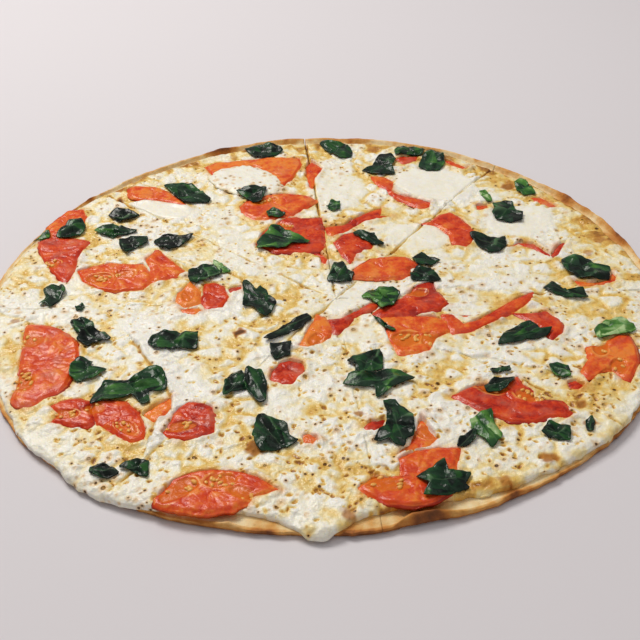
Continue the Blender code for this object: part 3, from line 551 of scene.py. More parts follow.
cheese = {
    "rows": 260,                 # rings of facets on one slice, 0.75 mm apart
    "thickness": 3.5,
    "underTomato": 1.3,
    "lump": 0.9,
    "lumpSize": 21,
    "curdSizes": (11, 5.2),
    "edge": 1.0,                 # thickness at the border, and how far in it is rounded
    "rounding": 4.2,
    "groove": 2.2,
    "overRim": 1.6,              # how far the border sinks where it runs over the rim
    "bubbles": 8200,             # places where one may have burst
    "bubbleReach": 195,
    "stray": 4.0,                # how far the cheese may stray over a tomato's border
    "juiceReach": 3.0,
    # how golden: plain curd, where oil lies, painted light on crests and painted shade in low places (less
    # gold the higher), painted shade in the creases between lumps, spots, pits and halos, cuts
    "gold": {"plain": 0.06, "oily": 0.15, "crest": 0.34, "creaseShade": 0.2, "spot": 0.68, "pit": 0.42,
             "halo": 0.2, "fresh": 0.06, "cut": 0.5},
    "pitBrown": 0.3,
    "foldFootBrownAndShade": 0.42,
    # softer rounds melted in: x, y, length, width, turn, rise
    "rounds": ((82, 120, 60, 48, -25, 1.3), (-104, 97, 48, 26, -25, 1.0), (63, 50, 40, 36, 0, 0.7),
               (133, 68, 50, 40, 25, 0.9), (17, -19, 30, 24, 20, 0.7), (28, -50, 34, 22, 30, 0.7),
               (-60, 62, 30, 24, 0, 0.4), (-150, -22, 36, 26, 10, 0.5), (12, 120, 44, 60, 10, 0.6),
               (-150, 8, 30, 18, -60, 0.5), (36, -100, 30, 14, -10, 0.5)),
    # toasted or oily places: x, y, length, width, turn, strength
    "golden": ((-45, -120, 46, 18, 88, 0.5), (-35, -143, 26, 14, 0, 0.6), (107, -22, 38, 16, -18, 0.45),
               (120, -88, 34, 14, 80, 0.4), (78, -178, 44, 20, 25, 0.3), (172, 30, 74, 40, 80, 0.2),
               (130, 115, 42, 36, 60, 0.25), (-96, 163, 18, 12, 0, 0.6), (-138, 127, 18, 10, -30, 0.6),
               (42, 177, 16, 15, 0, 0.6), (132, -118, 15, 14, 0, 0.5), (60, -98, 46, 30, 20, 0.34),
               (-92, 62, 44, 16, -70, 0.3), (-45, -65, 40, 20, -80, 0.25), (20, -110, 30, 16, 90, 0.25),
               (-70, 40, 34, 14, 0, 0.22), (150, -35, 54, 20, -20, 0.35), (-88, -112, 16, 12, 60, 0.5),
               (-15, -5, 18, 16, 0, 0.25), (15, -158, 20, 10, 0, 0.3), (80, 5, 40, 20, 0, 0.25),
               (165, 60, 30, 20, 60, 0.25), (-10, 165, 12, 40, 0, 0.25), (75, -60, 40, 14, 10, 0.25),
               (-130, 45, 24, 10, 30, 0.3), (-176, -60, 18, 50, 0, 0.3), (40, -148, 34, 12, 20, 0.35),
               (-95, -142, 12, 22, 10, 0.35), (90, -70, 36, 10, -5, 0.35), (-12, 28, 14, 22, 0, 0.2)),
    # toasted strength of the outer cheese, every 30 degrees from +X, and how wide that band is
    "edgeToast": (0.45, 0.55, 0.5, 0.45, 0.5, 0.4, 0.12, 0.0, 0.0, 0.25, 0.25, 0.12),
    "edgeBand": 22,
    # brown marks: x, y, radius, strength
    "brown": ((-46, -48, 4.6, 0.95), (-35, -145, 6, 0.8), (-96, 163, 5, 0.8), (-138, 127, 4.5, 0.7),
              (-136, 113, 4, 0.9), (132, 115, 6, 0.8), (42, 177, 5, 0.45), (132, -118, 4, 0.8),
              (134, -132, 4, 1.0), (18, -122, 3, 0.6), (178, 42, 6, 0.6), (168, 26, 4, 0.5),
              (60, 186, 5, 0.5), (-60, 172, 4, 0.4), (10, -190, 5, 0.6), (84, -172, 5, 0.6),
              (-178, -30, 4, 0.5), (108, -158, 5, 0.75)),
    # raised lips: points along them, height, half width
    "lips": ((((-86, -30), (-62, -24), (-46, -32)), 0.9, 2.0),
             (((-30, 112), (-12, 92), (10, 78), (30, 74)), 0.8, 2.2),
             (((110, 128), (104, 104), (84, 92)), 0.7, 2.0),
             (((58, -108), (78, -96), (100, -90)), 0.8, 2.2),
             (((-150, -18), (-168, -28), (-178, -34)), 0.8, 2.2)),
    # folds: points along each, how much higher its left side stands, how strong the oil and painted shade at
    # its foot are
    "folds": ((((-87, -135), (-84, -118), (-80, -103), (-92, -77), (-105, -55)), -2.4, 1.0),
              (((50, -15), (82, -8), (104, -12)), 1.2, 0.2),
              (((72, -72), (96, -80), (118, -90)), 1.3, 0.2),
              (((13, -121), (26, -130), (44, -134)), 1.3, 0.2),
              (((18, -158), (32, -163), (52, -150)), 1.2, 0.2),
              (((-193, -18), (-182, -24), (-168, -32)), 1.3, 0.6),
              (((-30, -70), (-12, -64), (4, -72)), 1.0, 0.2),
              (((-62, 20), (-48, 8), (-46, -8)), -0.9, 0.2),
              (((118, 20), (138, 16), (158, 24)), 0.9, 0.2),
              (((-120, -52), (-108, -44), (-92, -46)), -0.9, 0.2),
              (((60, 96), (84, 84), (108, 92)), 0.9, 0.2)),
    # how clearly each cut shows, 0 melted over, 1 open
    "cutShows": (0.28, 0.55, 0.75, 0.45, 0.3, 0.25, 0.28, 0.2),
}


def reachOf(outline):
    # the middle of an outline, and how far the outline is from there every two degrees
    corners = np.array(outline, float)
    following = np.roll(corners, -1, axis=0)
    cross = corners[:, 0] * following[:, 1] - following[:, 0] * corners[:, 1]
    middle = ((corners + following) * cross[:, None]).sum(0) / (3 * cross.sum())
    side = following - corners
    fromMiddle = corners - middle
    reach = []
    for turn in np.radians(np.arange(0, 360, 2)):
        dx, dy = math.cos(turn), math.sin(turn)
        whole = dx * side[:, 1] - dy * side[:, 0] + 1e-12
        far = (fromMiddle[:, 0] * side[:, 1] - fromMiddle[:, 1] * side[:, 0]) / whole
        share = (fromMiddle[:, 0] * dy - fromMiddle[:, 1] * dx) / whole
        reach.append(far[(share > -1e-6) & (share < 1 + 1e-6)].max())
    reach = np.array(reach)
    return middle, (np.roll(reach, 1) + 2 * reach + np.roll(reach, -1)) / 4


def outsideOutline(x, y, outline):
    # how far a place is outside an outline, below zero inside it
    away = np.abs(lineOffset(x, y, (*outline, outline[0])))
    inside = np.zeros(x.shape, bool)
    for (ax, ay), (bx, by) in zip(outline, (*outline[1:], outline[0])):
        if ay != by:
            inside ^= ((ay > y) != (by > y)) & (x < (bx - ax) * (y - ay) / (by - ay) + ax)
    return np.where(inside, -away, away)


def spotAt(x, y, spot):
    # 1 in the middle of an oval spot, 0 from its border on
    centreX, centreY, length, width, turn = spot
    angle = math.radians(turn)
    along = (x - centreX) * math.cos(angle) + (y - centreY) * math.sin(angle)
    across = (y - centreY) * math.cos(angle) - (x - centreX) * math.sin(angle)
    return np.hypot(along / (length / 2), across / (width / 2))


def lineOffset(x, y, points):
    # distance to a line of points, above zero on its left side
    nearest = np.full(x.shape, 1e9)
    offset = np.full(x.shape, 1e9)
    for (ax, ay), (bx, by) in zip(points[:-1], points[1:]):
        dx, dy = bx - ax, by - ay
        share = np.clip(((x - ax) * dx + (y - ay) * dy) / (dx * dx + dy * dy), 0, 1)
        away = np.hypot(x - ax - share * dx, y - ay - share * dy)
        side = np.where((y - ay) * dx - (x - ax) * dy > 0, 1, -1)
        offset = np.where(away < nearest, away * side, offset)
        nearest = np.minimum(nearest, away)
    return offset


def scatterPits():
    # bubbles that burst in the oven, larger and browner towards the near edge
    pits = []
    for _ in range(cheese["bubbles"]):
        angle = dice.uniform(0, 2 * math.pi)
        radius = cheese["bubbleReach"] * math.sqrt(dice.uniform())
        x, y = radius * math.cos(angle), radius * math.sin(angle)
        near = float(smoothStep(-20, 150, -y))
        crowd = noise.noise((x / 26, y / 26, 5.0))
        chance = 0.1 + 0.22 * near + 0.5 * crowd
        size = dice.uniform(0.55, 1.15) + near * dice.uniform(0, 0.8)
        toast = dice.uniform() ** 1.8
        if dice.uniform() < chance:
            pits.append((x, y, size, dice.uniform(0.3, 0.6) * size, toast, dice.uniform(0, math.pi)))
    tree = kdtree.KDTree(len(pits))
    for number, pit in enumerate(pits):
        tree.insert((pit[0], pit[1], 0), number)
    tree.balance()
    return np.array(pits), tree


pits, pitTree = scatterPits()
print(len(pits), "pits")


def cheeseSurface(x, y, full=False):
    # height of the cheese in mm, and with full its colours
    depth = cheese["thickness"] + cheese["lump"] * (
        noiseAt(cheese["lumpSize"], x, y) + 0.5 * noiseAt(cheese["lumpSize"] / 2.1, x, y))
    fresh = np.zeros(x.shape)
    for *spot, rise in cheese["rounds"]:
        off = spotAt(x, y, spot) + 0.10 * noiseAt(12, x, y, 40)
        depth += rise * (1 - smoothStep(0.80, 1.04, off))
        fresh = np.maximum(fresh, (1 - smoothStep(0.86, 1.02, off)) * min(1, rise))
    rough = 1 - 0.8 * fresh
    # curds that ran together: lumps of two sizes with creases, strings over some of them
    warpX = x + 3.0 * noiseAt(12, x, y, 33)
    warpY = y + 3.0 * noiseAt(12, x, y, 44)
    lumps = pillowsAt(cheese["curdSizes"][0], warpX, warpY, 3)
    curds = pillowsAt(cheese["curdSizes"][1], warpX, warpY, 6)
    froth = np.maximum(smoothStep(-90, -175, y), 0.9 * smoothStep(125, 170, np.hypot(x, y)))
    held = smoothStep(-0.25, 0.25, noiseAt(26, x, y, 19))
    strings = 1 - np.abs(noiseAt(10, warpX, warpY, 17)) * 3.2
    relief = 0.9 * (lumps - 0.7) * (0.35 + 0.65 * held) + 0.5 * (curds - 0.7) * (0.3 + 0.7 * froth)
    relief += 0.5 * noiseAt(5.2, x, y, 11) + 0.16 * noiseAt(2.6, x, y, 23)
    relief += 0.6 * np.clip(strings, 0, 1) ** 2 * smoothStep(-0.1, 0.35, noiseAt(30, x, y, 18))
    wobble = 1.8 * noiseAt(9, x, y, 31)
    for points, rise, half in cheese["lips"]:
        relief += rise * np.exp(-((lineOffset(x, y, points) + wobble) / half) ** 2)
    foldFootOilAndShade = np.zeros(x.shape)
    for points, rise, oil in cheese["folds"]:
        off = (lineOffset(x, y, points) + 1.2 * wobble) * (1 if rise > 0 else -1)
        off = np.where(np.abs(off) > 1e6, -99, off)
        relief += abs(rise) * smoothStep(-1.0, 1.0, off) * np.exp(-np.clip(off, 0, 99) / 11)
        # oil and painted shade along the foot of each fold, on its lower side
        foldFootOilAndShade = np.maximum(foldFootOilAndShade, oil * np.exp(-((off + 1.0) / 1.3) ** 2))
    nearest = np.array([pitTree.find((a, b, 0))[1:] for a, b in zip(x.tolist(), y.tolist())])
    pit = pits[nearest[:, 0].astype(int)]
    alongPit = (x - pit[:, 0]) * np.cos(pit[:, 5]) + (y - pit[:, 1]) * np.sin(pit[:, 5])
    acrossPit = (y - pit[:, 1]) * np.cos(pit[:, 5]) - (x - pit[:, 0]) * np.sin(pit[:, 5])
    pitOff = np.hypot(alongPit * 0.7, acrossPit * 1.25) / pit[:, 2] + 0.45 * noiseAt(2.4, x, y, 27)
    sink = pit[:, 3] * np.clip(1 - pitOff * pitOff, 0, 1) ** 1.2
    collar = 0.14 * np.exp(-((pitOff - 1.25) / 0.3) ** 2)
    relief += (collar - sink) * rough
    depth += relief * rough
    # seats of the tomato pieces; the cheese strays over their borders
    stray = cheese["stray"] * (noiseAt(12, x, y, 50) + 0.45 * noiseAt(4.5, x, y, 51) + 0.3)
    stray = np.clip(stray, -0.3, 4.5)
    outside = np.full(x.shape, 99.0)
    for *_, lap, _, _, outline in tomatoes.values():
        low, high = np.min(outline, axis=0) - 10, np.max(outline, axis=0) + 10
        near = np.flatnonzero((x > low[0]) & (x < high[0]) & (y > low[1]) & (y < high[1]))
        off = outsideOutline(x[near], y[near], outline) + lap * stray[near]
        outside[near] = np.minimum(outside[near], off)
    seat = 1 - smoothStep(-1.3, 0.5, outside)
    mound = 0.3 + 1.1 * smoothStep(-0.3, 0.4, noiseAt(17, x, y, 53))
    lip = mound * np.exp(-((outside - 1.4) / 2.4) ** 2)
    depth = (depth + lip) * (1 - seat) + cheese["underTomato"] * seat
    # grooves over the cuts
    hubX, hubY = pizza["hub"]
    fromHub = np.hypot(x - hubX, y - hubY)
    groove = np.zeros(x.shape)
    for degrees, shows in zip(pizza["cuts"], cheese["cutShows"]):
        dx, dy = math.cos(math.radians(degrees)), math.sin(math.radians(degrees))
        ahead = (x - hubX) * dx + (y - hubY) * dy
        wander = (1.6 * noiseAt(16, x, y, 60 + degrees) + 0.6 * noiseAt(5, x, y, 61)) * (1 - shows)
        aside = np.abs((x - hubX) * dy - (y - hubY) * dx + wander)
        melted = np.clip(shows - 0.12 + 1.1 * noiseAt(20, x, y, 62 + degrees), 0, 1)
        melted = np.maximum(melted, 0.4 * smoothStep(130, 190, fromHub))
        cut = (1 - smoothStep(0.1, 0.9 + 0.5 * melted, aside)) * melted
        groove = np.maximum(groove, np.where(ahead > 0, cut, 0))
    depth -= np.minimum(cheese["groove"] * groove, depth - 0.5)
    # rounded outer border
    angle = np.degrees(np.arctan2(y - hubY, x - hubX))
    inside = reachTo(cheeseEdge, angle) - fromHub
    edgeRound = np.sqrt(1 - (1 - np.clip((inside + 0.3) / cheese["rounding"], 0, 1)) ** 2)
    depth = cheese["edge"] * (1 - edgeRound) + np.maximum(depth, cheese["edge"]) * edgeRound
    over = smoothStep(0, 4, -cheeseInset(np.degrees(np.arctan2(y, x)))) * smoothStep(6, 0, inside)
    top = pizza["bed"] + pizza["gap"] + depth - cheese["overRim"] * over * smoothStep(5, 0, inside)
    if not full:
        return top
    oily = smoothStep(-0.05, 0.45, noiseAt(30, x, y, 70) + 0.5 * noiseAt(11, x, y, 71))
    gold = cheese["gold"]
    # painted shade: more gold in the creases between the lumps
    golden = gold["plain"] + gold["oily"] * oily + gold["creaseShade"] * (1 - lumps) * held
    # painted light and shade by the relief: less gold on crests, more in low places
    golden += 0.08 * noiseAt(7, x, y, 72) - gold["crest"] * relief
    for *spot, strength in cheese["golden"]:
        off = spotAt(x, y, spot) + 0.35 * noiseAt(9, x, y, 80)
        golden += gold["spot"] * strength * (1 - smoothStep(0.2, 1.25, off))
    # gold of the oil and painted shade at the foot of the folds
    golden += foldFootOilAndShade * (0.5 + 0.5 * held)
    band = 1 - smoothStep(0, cheese["edgeBand"], inside + 9 * noiseAt(15, x, y, 90))
    blistered = 0.35 + 1.1 * smoothStep(-0.1, 0.3, noiseAt(9, x, y, 75))
    golden += around(cheese["edgeToast"], np.degrees(np.arctan2(y, x))) * band * blistered
    # no painted light and shade by the relief in the toasted outer band
    golden += gold["crest"] * relief * np.clip(band, 0, 1)
    golden += 0.16 * np.exp(-np.clip(outside, 0, 99) / 4)
    golden = np.minimum(golden, 0.6 + 0.3 * np.clip(band, 0, 1) + 0.1 * noiseAt(6, x, y, 74))
    golden = golden * (1 - 0.85 * fresh) + gold["fresh"] * fresh + gold["cut"] * groove
    brown = np.zeros(x.shape)
    for spotX, spotY, radius, strength in cheese["brown"]:
        off = (np.hypot(x - spotX, y - spotY) + 2.5 * noiseAt(4, x, y, 95)) / radius
        brown = np.maximum(brown, strength * (1 - smoothStep(0.4, 1.15, off)))
    pitToast = (1 - smoothStep(0.2, 1.05, pitOff)) * rough
    brown = np.maximum(brown, cheese["pitBrown"] * pitToast * pit[:, 4])
    # brown of the oil and painted shade at the foot of the folds
    brown = np.maximum(brown, cheese["foldFootBrownAndShade"] * smoothStep(0.45, 0.9, foldFootOilAndShade))
    halo = 1 - smoothStep(0.7, 1.9, pitOff)
    golden += gold["pit"] * pitToast + gold["halo"] * halo * rough * pit[:, 4]
    juice = np.exp(-np.clip(outside, 0, 99) / cheese["juiceReach"])
    juice *= np.clip(0.4 + 0.9 * noiseAt(10, x, y, 99), 0, 1)
    return top, {"golden": golden, "brown": brown, "juice": juice, "fresh": fresh}


def setPlaces(mesh, x, y, z):
    places = np.column_stack((x, y, z)) * mm
    mesh.vertices.foreach_set("co", places.astype(np.float32).ravel())
    mesh.update()


def setAttributes(mesh, values):
    # one number from 0 to 1 for every vertex, for the materials
    for name, numbers in values.items():
        numbers = np.clip(numbers + np.zeros(len(mesh.vertices)), 0, 1)
        mesh.attributes.new(name, "FLOAT", "POINT").data.foreach_set("value", numbers.astype(np.float32))


def placesOf(mesh):
    places = np.empty(len(mesh.vertices) * 3, np.float32)
    mesh.vertices.foreach_get("co", places)
    return places.reshape(-1, 3).astype(float)


def finishPiece(name, mesh, material, slot, nodes):
    mesh.name = name
    mesh.materials.append(material)
    mesh.shade_smooth()
    # from which angle on an edge stays sharp
    sharp = {"basil": 13, "cheese": 70}.get(slot)
    if sharp:
        mesh.set_sharp_from_angle(angle=math.radians(sharp))
    piece = bpy.data.objects.new(name, mesh)
    bpy.context.scene.collection.objects.link(piece)
    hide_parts(*nodes)
    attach(piece, "root")
    return piece


def meshFrom(bm, name):
    mesh = bpy.data.meshes.new(name)
    bm.to_mesh(mesh)
    bm.free()
    return mesh


def sliceGrid():
    # one triangle split into even rows, its first corner for the hub, with a wall and a floor
    bm = bmesh.new()
    bmesh.ops.create_circle(bm, cap_ends=True, radius=1, segments=3)
    corners = [vert.co.copy() for vert in bm.verts]
    bmesh.ops.subdivide_edges(bm, edges=bm.edges[:], cuts=cheese["rows"] - 1, use_grid_fill=True)
    border = [edge for edge in bm.edges if edge.is_boundary]
    wall = bmesh.ops.extrude_edge_only(bm, edges=border)
    foot = [item for item in wall["geom"] if isinstance(item, bmesh.types.BMVert)]
    footEdges = [item for item in wall["geom"] if isinstance(item, bmesh.types.BMEdge)]
    bmesh.ops.translate(bm, verts=foot, vec=(0, 0, -1))
    bmesh.ops.contextual_create(bm, geom=footEdges)
    bmesh.ops.recalc_face_normals(bm, faces=bm.faces[:])
    return meshFrom(bm, "slice_grid"), corners


def cheeseSlice(number, grid, corners):
    mesh = grid.copy()
    places = placesOf(mesh)
    first, second, third = [np.array(corner)[:2] for corner in corners]
    # shares of the two outer corners
    sides = np.column_stack((second - first, third - first))
    shares = np.linalg.solve(sides, (places[:, :2] - first).T)
    row = np.clip(shares[0] + shares[1], 0, 1)
    across = np.where(row > 1e-6, shares[1] / np.maximum(row, 1e-6), 0)
    start = pizza["cuts"][number]
    sweep = (pizza["cuts"][(number + 1) % 8] - start) % 360
    angle = start + sweep * np.clip(across, 0, 1)
    reach = reachTo(cheeseEdge, angle) * row
    x = pizza["hub"][0] + reach * np.cos(np.radians(angle))
    y = pizza["hub"][1] + reach * np.sin(np.radians(angle))
    # ragged outer border
    ragged = smoothStep(0.93, 1.0, row) * (1.3 * noiseAt(7, x, y, 7) + 0.5 * noiseAt(3, x, y, 8))
    x += ragged * np.cos(np.radians(angle))
    y += ragged * np.sin(np.radians(angle))
    top, colours = cheeseSurface(x, y, full=True)
    foot = places[:, 2] < -0.5
    over = smoothStep(0, 4, -cheeseInset(np.degrees(np.arctan2(y, x)))) * smoothStep(0.97, 1.0, row)
    bottom = pizza["bed"] + 0.1 - 1.9 * over
    # the two sides of a cut keep their gap
    for side, cut in ((0, number), (1, (number + 1) % 8)):
        off = (across if side == 0 else 1 - across) * reach * math.radians(sweep)
        opening = pizza["open"][cut] + math.radians(pizza["spread"][cut]) * reach
        push = opening * (1 - smoothStep(0, 2.5, off)) * (1 if side == 0 else -1)
        turn = math.radians(pizza["cuts"][cut] + 90)
        x += push * math.cos(turn) * smoothStep(0, 8, reach)
        y += push * math.sin(turn) * smoothStep(0, 8, reach)
    setPlaces(mesh, x, y, np.where(foot, bottom, top))
    setAttributes(mesh, colours)
    finishPiece(f"cheese_{number + 1}", mesh, cheeseLook, "cheese", ["cheese"])


gridMesh, gridCorners = sliceGrid()
for number in range(8):
    cheeseSlice(number, gridMesh, gridCorners)
print("cheese ready")


crust = {
    "steps": 170,                # facets along one slice's rim
    # how toasted: everywhere, on the rim, on its outer face, under it, and at most
    "toast": {"plain": 0.18, "rim": 0.22, "outer": 0.1, "under": 0.36, "most": 0.84},
    # section from the hub over the rim to the underside: station, height as in the solids
    "section": ((0, 0), (0.5, 0), (0.9, 0), (1, 0), (1.10, 0.22), (1.20, 0.50), (1.28, 0.70), (1.36, 0.86),
                (1.45, 0.96), (1.55, 1.0), (1.65, 0.95), (1.75, 0.82), (1.85, 0.62), (1.92, 0.36),
                (1.97, 0.08), (2.0, -0.18), (2.0, -0.34), (1.97, -0.52), (1.92, -0.66), (1.8, -0.82),
                (1.65, -0.95), (1.5, -1), (1.2, -1), (0.9, -1), (0.5, -1), (0, -1)),
    # dark bubbles in the rim: x, y, radius, rise, how dark
    "blisters": ((-70, 184, 13, 1.6, 0.7), (-158, 118, 8, 1.2, 0.6), (186, 40, 12, 1.8, 0.5),
                 (191, 5, 9, 2.6, 0.4), (-27, -191, 10, 2.4, 0.35), (10, -196, 6, 1.4, 0.45),
                 (48, -194, 10, 1.8, 0.3), (88, -176, 9, 1.4, 0.35), (28, 192, 8, 1.2, 0.5),
                 (150, -136, 9, 1.0, 0.5), (168, 98, 9, 1.2, 0.45), (-20, 193, 7, 1.0, 0.4)),
}


def crustSlice(number):
    section = crust["section"]
    bm = bmesh.new()
    profile = [bm.verts.new((station, 0, index)) for index, (station, _) in enumerate(section)]
    face = bm.faces.new(profile)
    bmesh.ops.spin(bm, geom=[face, *face.edges, *profile], cent=(0, 0, 0), axis=(0, 0, 1), angle=1,
                   steps=crust["steps"])
    mesh = meshFrom(bm, "crust")
    places = placesOf(mesh)
    index = np.round(places[:, 2]).astype(int)
    station = np.array([pair[0] for pair in section])[index]
    height = np.array([pair[1] for pair in section])[index]
    start = pizza["cuts"][number] + pizza["spread"][number]
    end = pizza["cuts"][(number + 1) % 8] - pizza["spread"][(number + 1) % 8]
    sweep = (end - start) % 360
    angle = start + sweep * np.clip(np.arctan2(places[:, 1], places[:, 0]), 0, 1)
    angle = np.where(station == 0, start, angle)
    dx, dy = np.cos(np.radians(angle)), np.sin(np.radians(angle))
    bed = reachTo(bedEdge, angle)
    rim = reachTo(rimEdge, angle)
    reach = np.where(station <= 1, bed * station, bed + (rim - bed) * (station - 1))
    x = pizza["hub"][0] + dx * reach
    y = pizza["hub"][1] + dy * reach
    ragged = smoothStep(1.5, 2.0, station) * (0.8 * noiseAt(6, x, y, 3) + 0.4 * noiseAt(2.4, x, y, 4))
    x += dx * ragged
    y += dy * ragged
    bare = bareWidth(np.degrees(np.arctan2(y, x)))
    bubbles = np.zeros(x.shape)
    toast = np.zeros(x.shape)
    for centreX, centreY, radius, rise, dark in crust["blisters"]:
        off = np.hypot(x - centreX, y - centreY) / radius
        bubbles = np.maximum(bubbles, rise * np.exp(-1.6 * off * off))
        toast = np.maximum(toast, dark * np.exp(-1.8 * (off + 0.25 * noiseAt(5, x, y, 14)) ** 2))
    crest = smoothStep(2, 9, bare) * (pizza["rimHeight"] - pizza["bed"])
    crest += smoothStep(1, 4, bare) * (bubbles + 0.5 * noiseAt(16, x, y) + 0.35 * noiseAt(6, x, y, 2)
                                       + 0.22 * noiseAt(2.8, x, y, 9))
    lower = np.where(station > 1.6, pizza["rimLift"] + (pizza["bed"] - pizza["rimLift"])
                     * np.clip(1 + height - 0.38, 0, 1) / 0.62, pizza["bed"] * (1 + height))
    z = np.where(height > 0, pizza["bed"] + np.maximum(crest, 0) * height, lower)
    push = pizza["cutHalf"] / math.sin(math.radians(sweep / 2))
    x += push * math.cos(math.radians(start + sweep / 2))
    y += push * math.sin(math.radians(start + sweep / 2))
    under = smoothStep(-0.1, -0.7, height)
    outer = smoothStep(1.45, 1.95, station)
    share = crust["toast"]
    toast += share["plain"] + share["rim"] * smoothStep(1.05, 1.5, station)
    toast += share["outer"] * outer * (1 - under) + share["under"] * under * smoothStep(1.3, 2.0, station)
    toast += 0.24 * noiseAt(26, x, y, 18) + 0.28 * noiseAt(8, x, y, 19) + 0.14 * noiseAt(4, x, y, 20)
    setPlaces(mesh, x, y, z)
    setAttributes(mesh, {"toast": np.minimum(toast, share["most"])})
    bm = bmesh.new()
    bm.from_mesh(mesh)
    bmesh.ops.recalc_face_normals(bm, faces=bm.faces[:])
    bm.to_mesh(mesh)
    bm.free()
    finishPiece(f"crust_{number + 1}", mesh, crustLook, "crust", [f"crust_slice_{number + 1}"])


for number in range(8):
    crustSlice(number)
print("crust ready")


class Table:
    # what has been laid on the cheese so far, to drop rays on
    def __init__(self):
        self.laid = []

    def add(self, piece):
        points = placesOf(piece.data)
        tree = BVHTree.FromPolygons(points.tolist(), [face.vertices[:] for face in piece.data.polygons])
        self.laid.append((points.min(0), points.max(0), tree))

    def heights(self, x, y):
        top = cheeseSurface(x.ravel(), y.ravel())
        places = np.column_stack((x.ravel(), y.ravel())) * mm
        for low, high, tree in self.laid:
            near = np.flatnonzero(np.all((places > low[:2]) & (places < high[:2]), axis=1))
            for number in near:
                hit = tree.ray_cast(Vector((*places[number], 0.1)), Vector((0, 0, -1)))
                if hit[0]:
                    top[number] = max(top[number], hit[0].z / mm)
        return top.reshape(x.shape)


table = Table()


def roundCap(sides, rings, closed=True):
    # rings about the Z axis; closed adds a rounded border, a wall and a floor
    section = [ring / rings for ring in range(rings + 1)]
    if closed:
        section += [1.02, 1.0, 0.97, 0.5, 0]
    bm = bmesh.new()
    profile = [bm.verts.new((radius, 0, -index)) for index, radius in enumerate(section)]
    edges = [bm.edges.new(pair) for pair in zip(profile[:-1], profile[1:])]
    bmesh.ops.spin(bm, geom=[*edges, *profile], cent=(0, 0, 0), axis=(0, 0, 1), angle=2 * math.pi,
                   steps=sides, use_merge=True)
    bmesh.ops.remove_doubles(bm, verts=bm.verts[:], dist=1e-5)
    bmesh.ops.recalc_face_normals(bm, faces=bm.faces[:])
    mesh = meshFrom(bm, "cap")
    places = placesOf(mesh)
    return mesh, np.hypot(places[:, 0], places[:, 1]), np.arctan2(places[:, 1], places[:, 0]), -places[:, 2]


def laidOut(outline, radius, angle, grown, rough, seed):
    # a unit disc drawn out to an outline, its border a little uneven
    middle, reach = reachOf(outline)
    border = np.interp(np.degrees(angle), np.arange(0, 360, 2), reach, period=360) + grown
    border += rough * noiseAt(3.2, border * np.cos(angle), border * np.sin(angle), seed)
    return middle[0] + border * radius * np.cos(angle), middle[1] + border * radius * np.sin(angle)


tomato = {
    "tucked": 0.7,               # how far its border goes under the cheese
    "facet": 1.5,
    "sunk": 1.3,                 # flesh below the solid's top
    "droop": 1.3,                # and how much lower its border is
    "scrapHeight": 3.4,
    "seed": (1.6, 1.1, 0.7),     # half the length, width and thickness of one
}


def tomatoPiece(outline, arc, orange, film, seedCount, seed, low, high):
    middle, reach = reachOf(outline)
    size = 2 * math.sqrt(np.mean(reach ** 2))
    rings = max(int(size / tomato["facet"]), 8)
    mesh, radius, angle, index = roundCap(max(int(size * 2.6), 32), rings)
    x, y = laidOut(outline, np.minimum(radius, 1.02), angle, tomato["tucked"], 0.7, seed * 3.3)
    fromRim = tomato["tucked"] - outsideOutline(x, y, outline)
    turned = (np.degrees(angle) - arc[0]) % 360
    rounded = smoothStep(0, 14, turned) * smoothStep(0, 14, arc[1] - arc[0] - turned)
    if arc[1] - arc[0] == 360:
        rounded = np.ones(len(x))
    inJelly = np.zeros(len(x))
    strand = np.zeros(len(x))
    for spot in jelly:
        off = spotAt(x, y, spot) + 0.22 * noiseAt(6, x, y, 12)
        inJelly = np.maximum(inJelly, 1 - smoothStep(0.8, 1.05, off))
        strand = np.maximum(strand, np.exp(-((off - 1.12) / 0.13) ** 2))
    strand *= (1 - inJelly) * smoothStep(-0.2, 0.3, noiseAt(11, x, y, seed + 40))
    # streaks of flesh between the middle and the skin
    streaks = np.abs(noiseAt(0.5, np.cos(angle) * 1.6, np.sin(angle) * 1.6, seed + 0.15 * radius)) * 2
    top = high - tomato["sunk"] - tomato["droop"] * smoothStep(3.5, 0.0, fromRim)
    top += 0.25 * strand - 0.9 * inJelly
    folds = np.abs(noiseAt(8, x + 2 * noiseAt(5, x, y, seed), y, 24 + seed))
    top += 0.5 * noiseAt(10, x, y, 20 + seed) + 0.2 * noiseAt(4.2, x, y, 21 + seed)
    top += 0.14 * noiseAt(2, x, y, 22 + seed) - 0.45 * np.exp(-folds / 0.06)
    top += 0.35 * streaks * smoothStep(0.2, 0.5, radius) * (radius < 0.9)
    top = np.minimum(top, high - 0.4)
    rim = np.exp(-((fromRim - 2.0) / 0.9) ** 2) * rounded
    top += 0.4 * rim
    # the wall's rings, from the top's border down
    wall = index - rings
    z = np.select([wall <= 0, wall == 1, wall == 2], [top, top - 0.5, high - 3.0], low - 0.9)
    orange += 0.08 + 0.3 * noiseAt(15, x, y, 30 + seed) + 0.22 * noiseAt(6, x, y, 31 + seed)
    orange += 0.16 * (streaks - 0.4) - 0.2 * np.exp(-folds / 0.08)
    setPlaces(mesh, x, y, z)
    setAttributes(mesh, {"orange": orange, "skin": smoothStep(1.3, 0.6, fromRim) * rounded, "rim": rim,
                         "jelly": inJelly, "strand": strand, "film": film, "seed": 0})
    if seedCount:
        addSeeds(mesh, middle, seedCount, x, y, z, inJelly)
    return mesh


